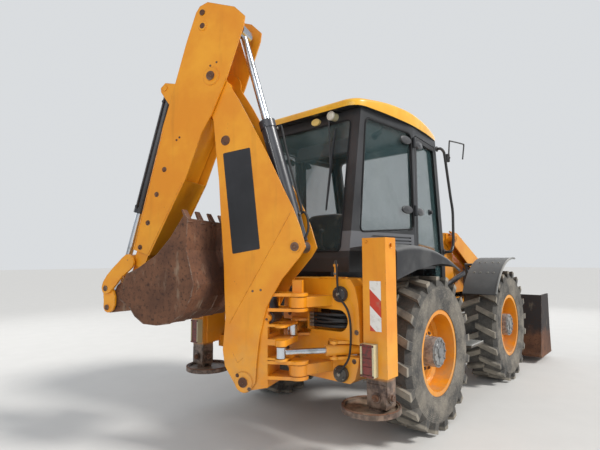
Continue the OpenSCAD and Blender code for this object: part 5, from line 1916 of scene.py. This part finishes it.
@dataclass
class Wheels:
    """Hub covers, wheel nuts and valves of the four wheels."""

    hub_face: float = 1.095
    disc_face: float = 0.9705

    def hub(self) -> list[Work]:
        """Planetary case's cover about the Y axis, at the machine's middle."""
        face = self.hub_face
        cover = Work.rod((0, face - 0.004, 0), (0, face + 0.010, 0), 0.122, 48)
        cover.facing(OUT).sink(0.020, 0.006)
        cover.bevel(0.002, 2)
        cap = Work.rod((0, face + 0.002, 0), (0, face + 0.018, 0), 0.044, 32)
        cap.facing(OUT).inset(0.010, 0.004)
        parts = [cover, cap.bevel(0.002, 2)]
        parts += [bolt((0.111 * c, face + 0.010, 0.111 * s), OUT, 0.008, 0.008) for c, s in circle(10)]
        for k in range(5):
            web = Work.block((0.046, face + 0.002, -0.011), (0.098, face + 0.009, 0.011)).bevel(0.002, 1)
            parts.append(web.turn(72 * k + 18, "Y", (0, 0, 0)))
        return parts

    def nuts(self) -> list[Work]:
        """Wheel nuts on the disc, and the valve."""
        parts = [bolt((0.162 * c, self.disc_face, 0.162 * s), OUT, 0.013, 0.018) for c, s in circle(12, 10)]
        parts.append(Work.tube([(0.300, 0.915, -0.10), (0.300, 0.955, -0.10), (0.312, 0.985, -0.104)], 0.005, 2))
        parts.append(Work.rod((0.311, 0.980, -0.1037), (0.3165, 0.998, -0.1055), 0.007, 8))
        return parts

    def build(self, d: Dresser) -> None:
        """Builds one set and copies it to each corner."""
        grey = Enamel("hub_enamel", linear(112, 114, 116), linear(146, 146, 142), rough=0.4, wear=0.3, dust=0.4)
        for name, parts, slot, finish in (
            ("hub_cover", self.hub(), Slot.PLASTIC, grey), ("wheel_nuts", self.nuts(), Slot.WORN, PIN_STEEL),
        ):
            pattern = join(parts)
            for end, x in (("front", FRONT_AXLE_X), ("rear", REAR_AXLE_X)):
                for side, word in SIDES:
                    made = pattern.copy().on_side(side).move((x, 0, AXLE_Z))
                    d.fit(made, f"{name}_{end}_{word}", f"wheel_{end}_{word}", slot, finish)
            bpy.data.objects.remove(pattern.obj)


@dataclass
class FrontEnd:
    """Step treads, front mudguards' bolts and lips, and the loader's pins, pipe clamps and weld beads."""

    guard_radius: float = 0.871
    lip_radius: float = 0.864
    step_x: tuple[float, float] = (0.925, 1.305)
    arm_y: float = 0.495

    def steps(self, d: Dresser) -> None:
        """Serrated treads on the cab's steps."""
        alloy = Flat("step_alloy", linear(176, 176, 172), 0.38, 0.5)
        x0, x1 = self.step_x
        for side, word in SIDES:
            parts = []
            for y0, y1, z in ((0.660, 0.860, 0.922), (0.862, 1.060, 0.612)):
                parts.append(Work.block(place(x0, y0, z - 0.001), place(x1, y1, z + 0.004)).bevel(0.0015, 1))
                for x in (0.945 + 0.040 * k for k in range(9)):
                    tread = Work.block(place(x, y0 + 0.02, z + 0.002), place(x + 0.012, y1 - 0.02, z + 0.011))
                    parts.append(tread.bevel(0.003, 1))
                route = [place(x, y1 - 0.004, z + 0.004) for x in (0.930, 1.300)]
                parts.append(Work.tube(route, 0.008, 2, soft=False))
            d.fit(join(parts).on_side(side), f"step_treads_{word}", "chassis", Slot.PLASTIC, alloy)

    def over_wheel(self, radius: float, cosine: float, sine: float, y: float) -> Vector:
        """Point on an arc over the front axle."""
        return Vector((FRONT_AXLE_X + radius * cosine, y, AXLE_Z + radius * sine))

    def mudguards(self, d: Dresser) -> None:
        """Bolt pairs over the front mudguards' brackets, and the rolled lip of their outer edge."""
        zinc = Flat("zinc_bolts", linear(150, 148, 140), 0.35, 0.7)
        worn = Enamel("guard_lip", linear(120, 120, 118), linear(168, 166, 160), linear(70, 70, 70), 0.45, 0.4, 0.5)
        for side, word in SIDES:
            parts = [
                bolt(self.over_wheel(self.guard_radius, c, s, side * y), (c, 0, s), 0.010, 0.008)
                for c, s in circle(2, 112, 16) for y in (0.860, 0.930, 1.020, 1.090)
            ]
            d.fit(parts, f"mudguard_bolts_{word}", f"knuckle_front_{word}", Slot.CHROME, zinc)
            route = [self.over_wheel(self.lip_radius, c, s, side * 1.1695) for c, s in circle(21, 84.6, 3.24)]
            lip = Work.tube(route, 0.0135, 1, soft=False)
            d.fit(lip, f"mudguard_lip_{word}", f"knuckle_front_{word}", Slot.PLASTIC, worn)

    def loader_pins(self, d: Dresser) -> None:
        """Pin ends on the loader arms and their pivots."""
        arms, bucket = [], []
        for side in (-1, 1):
            for x, z, radius in ((1.880, 1.830, 0.038), (2.580, 1.420, 0.022), (2.700, 1.500, 0.022)):
                arms.append(pin_head(place(x, side * 0.5495, z), (0, side, 0), radius, 0.012))
            bucket.append(pin_head(place(3.300, side * 0.5715, 0.250), (0, side, 0), 0.024, 0.010))
        d.fit(arms, "loader_arm_pins", "loader_arms", Slot.WORN, PIN_STEEL)
        d.fit(bucket, "loader_bucket_pins", "loader_bucket", Slot.WORN, PIN_STEEL)

    def pipe_clamps(self, d: Dresser) -> None:
        """Clamps of the pipes along the loader arms."""
        clamps = []
        for y in (-self.arm_y, self.arm_y):
            for x, z in ((2.150, 1.824), (2.450, 1.693), (2.720, 1.576)):
                low, high = place(x - 0.015, y - 0.036, z - 0.012), place(x + 0.015, y + 0.036, z + 0.020)
                clamps.append(Work.block(low, high).bevel(0.005, 2))
        d.fit(clamps, "loader_pipe_clamps", "loader_arms", Slot.BLACK, PLASTIC)

    def bucket_trim(self, d: Dresser) -> None:
        """Weld beads and wear strips of the loader bucket."""
        parts = []
        for side in (-1, 1):
            end, strip = side * 1.174, side * 1.187
            parts.append(bead(places(((3.425, end, 0.160), (3.560, end, 0.985))), 0.005))
            low, high = place(3.440, strip - 0.012, 0.080), place(4.040, strip + 0.012, 0.0905)
            parts.append(Work.block(low, high).bevel(0.003, 1))
            for y in (side * 0.4245, side * 0.5655):
                parts.append(bead(places(((3.400, y, 0.160), (3.575, y, 0.990))), 0.004))
        d.fit(parts, "loader_bucket_trim", "loader_bucket", Slot.WORN, LOADER_BUCKET)

    def build(self, d: Dresser) -> None:
        """Builds and dresses the front end."""
        self.steps(d)
        self.mudguards(d)
        self.loader_pins(d)
        self.pipe_clamps(d)
        self.bucket_trim(d)


@dataclass
class Rails:
    """Handrails and the bent brackets that held the mirrors, as smooth tubes."""

    rail_y: float = 0.790
    mirror_y: float = 0.822
    clamp_x: float = 1.066

    def build(self, d: Dresser) -> None:
        """Builds both sides, each with its clamps."""
        parts = []
        for side in (-1, 1):
            y, m = side * self.rail_y, side * self.mirror_y
            parts.append(Work.tube(places((
                (1.120, side * 0.706, 1.640), (1.120, side * 0.760, 1.640), (1.130, y, 1.650), (1.178, y, 1.702),
                (1.197, y, 1.760), (1.204, y, 1.940), (1.203, y, 2.130), (1.150, y, 2.300), (1.060, y, 2.610),
                (1.010, y, 2.775), (0.985, y, 2.812), (0.930, y, 2.830), (0.903, side * 0.782, 2.835),
                (0.900, side * 0.741, 2.835),
            )), 0.0158, 4))
            parts.append(Work.tube(places((
                (1.057, m, 2.772), (1.066, m, 2.830), (1.083, m, 2.925), (1.095, m, 2.950), (1.130, m, 2.962),
                (1.520, m, 3.005), (1.550, m, 3.000), (1.556, m, 2.985), (1.530, m, 2.900), (1.500, m, 2.806),
            )), 0.0088, 3))
            x, y = self.clamp_x, side * 0.806
            parts.append(Work.rod(place(x, y, 2.700), place(x, y, 2.796), 0.0238, 24).bevel(0.005, 2))
            parts.append(bolt(place(x, side * 0.829, 2.748), (0, side, 0), 0.008, 0.006))
            for x, y, z in ((1.120, 0.712, 1.640), (0.900, 0.746, 2.835)):
                foot = Work.rod(place(x, side * (y - 0.006), z), place(x, side * (y + 0.004), z), 0.032, 24)
                parts.append(foot.bevel(0.002, 2))
        d.fit(parts, "cab_handrails", "chassis", Slot.BLACK, FRAME_BLACK, 50.0, ("handrails",))


@dataclass
class Interior:
    """Fittings that show through the cab's glass."""

    lever_x: float = -0.600
    floor_z: float = 1.598

    def build(self, d: Dresser) -> None:
        """Builds the inner lamp, the visor, the levers' gaiters, and the front console with its stalks."""
        lamp = Work.rod(place(-0.33, -0.640, 2.735), place(-0.25, -0.665, 2.800), 0.034, 20, 0.024).bevel(0.006, 2)
        stay = Work.tube(places(((-0.29, -0.650, 2.770), (-0.27, -0.690, 2.815), (-0.26, -0.700, 2.845))), 0.007, 2)
        d.fit([lamp, stay], "inner_lamp", "chassis", Slot.BLACK, PLASTIC)
        visor = Work.block(place(-0.62, -0.60, 2.540), place(-0.58, 0.10, 2.700)).bevel(0.016, 4)
        visor.turn(20.0, "Y", place(-0.60, 0, 2.62))
        grey = Plastic("visor_plastic", linear(70, 72, 76), linear(110, 110, 112), 0.3)
        d.fit(visor, "sun_visor", "chassis", Slot.PLASTIC, grey)
        parts = []
        for y in (-0.200, 0.200):
            for z, r in ((1.606, 0.052), (1.626, 0.044), (1.646, 0.036), (1.664, 0.028)):
                fold = Work.rod(place(self.lever_x, y, z), place(self.lever_x, y, z + 0.016), r, 20, r * 0.84)
                parts.append(fold.bevel(0.004, 2))
        for y in (-0.33 + 0.165 * k for k in range(5)):
            low, high = place(-0.752, y - 0.03, self.floor_z), place(-0.712, y + 0.03, self.floor_z + 0.014)
            parts.append(Work.block(low, high).bevel(0.005, 2))
        rubber = Plastic("gaiter_rubber", linear(26, 26, 28), linear(60, 60, 60), 0.3, 0.7)
        d.fit(parts, "lever_gaiters", "chassis", Slot.BLACK, rubber)
        panel = Work.block(place(0.80, -0.28, 1.475), place(1.00, 0.28, 1.520)).bevel(0.012, 3)
        stalks = [
            Work.tube(places(((0.66, s * 0.04, 1.735), (0.645, s * 0.13, 1.752), (0.640, s * 0.175, 1.760))), 0.006, 2)
            for s in (-1, 1)
        ]
        d.fit([panel, *stalks], "front_console", "chassis", Slot.PLASTIC, PLASTIC)


ASSEMBLIES: tuple[type, ...] = (Cab, Seat, Interior, Rails, Stabilisers, Carriage, Digger, Wheels, FrontEnd)


# ---- the whole machine


def paint_frame(dresser: Dresser) -> None:
    """Gives every CAD node that shows its finish.

    Args:
        dresser: The finishes and the frame.
    """
    ends = ("rear_left", "rear_right", "front_left", "front_right")
    steel = ("chassis_frame", "bonnet", "loader_arms", "rear_frame", "carriage", "kingpost", "boom", "dipper",
             "dipper_extension", "tipping_lever", "tipping_link")
    for finish, names in (
        (ENAMEL, (*steel, "slew_ram_barrel_left", "slew_ram_barrel_right")),
        (STABILISER, ("stabiliser_left", "stabiliser_right")),
        (CAB_BLACK, ("cab_frame", "nose_grille")),
        (DoorFinish(), ("door_left", "door_right")),
        (FRAME_BLACK, ("axle_front", "axle_rear", "side_tanks", *(f"knuckle_{end}" for end in ends))),
        (RIM_FRONT, ("rim_front_left", "rim_front_right")),
        (RIM_REAR, ("rim_rear_left", "rim_rear_right")),
        (TYRE_FRONT, ("tyre_front_left", "tyre_front_right")),
        (TYRE_REAR, ("tyre_rear_left", "tyre_rear_right")),
        (GUARD, ("mudguard_front_left", "mudguard_front_right")),
        (PLASTIC, ("controls",)),
        (LAMPS, ("lamps",)),
        (TintedGlass(), ("cab_glass",)),
        (ENGINE, ("engine_and_gearbox",)),
        (BUCKET, ("digging_bucket",)),
        (LOADER_BUCKET, ("loader_bucket",)),
    ):
        dresser.paint(finish, *names)
    nodes = dresser.frame["nodes"]
    dresser.paint(Chrome(), *(n for n in nodes if "rod" in n and "ram" in n))
    dresser.paint(BARREL, *(n for n in nodes if "barrel" in n and "slew" not in n))


def main() -> None:
    """Builds the dressed machine."""
    logging.basicConfig(level=logging.INFO, format="%(message)s")
    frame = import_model()
    Studio().build()
    dresser = Dresser(frame)
    paint_frame(dresser)
    for assembly in ASSEMBLIES:
        assembly().build(dresser)
    LOG.info("%d pieces beside the CAD nodes", dresser.count)
    deselect()


if __name__ == "__main__":
    main()
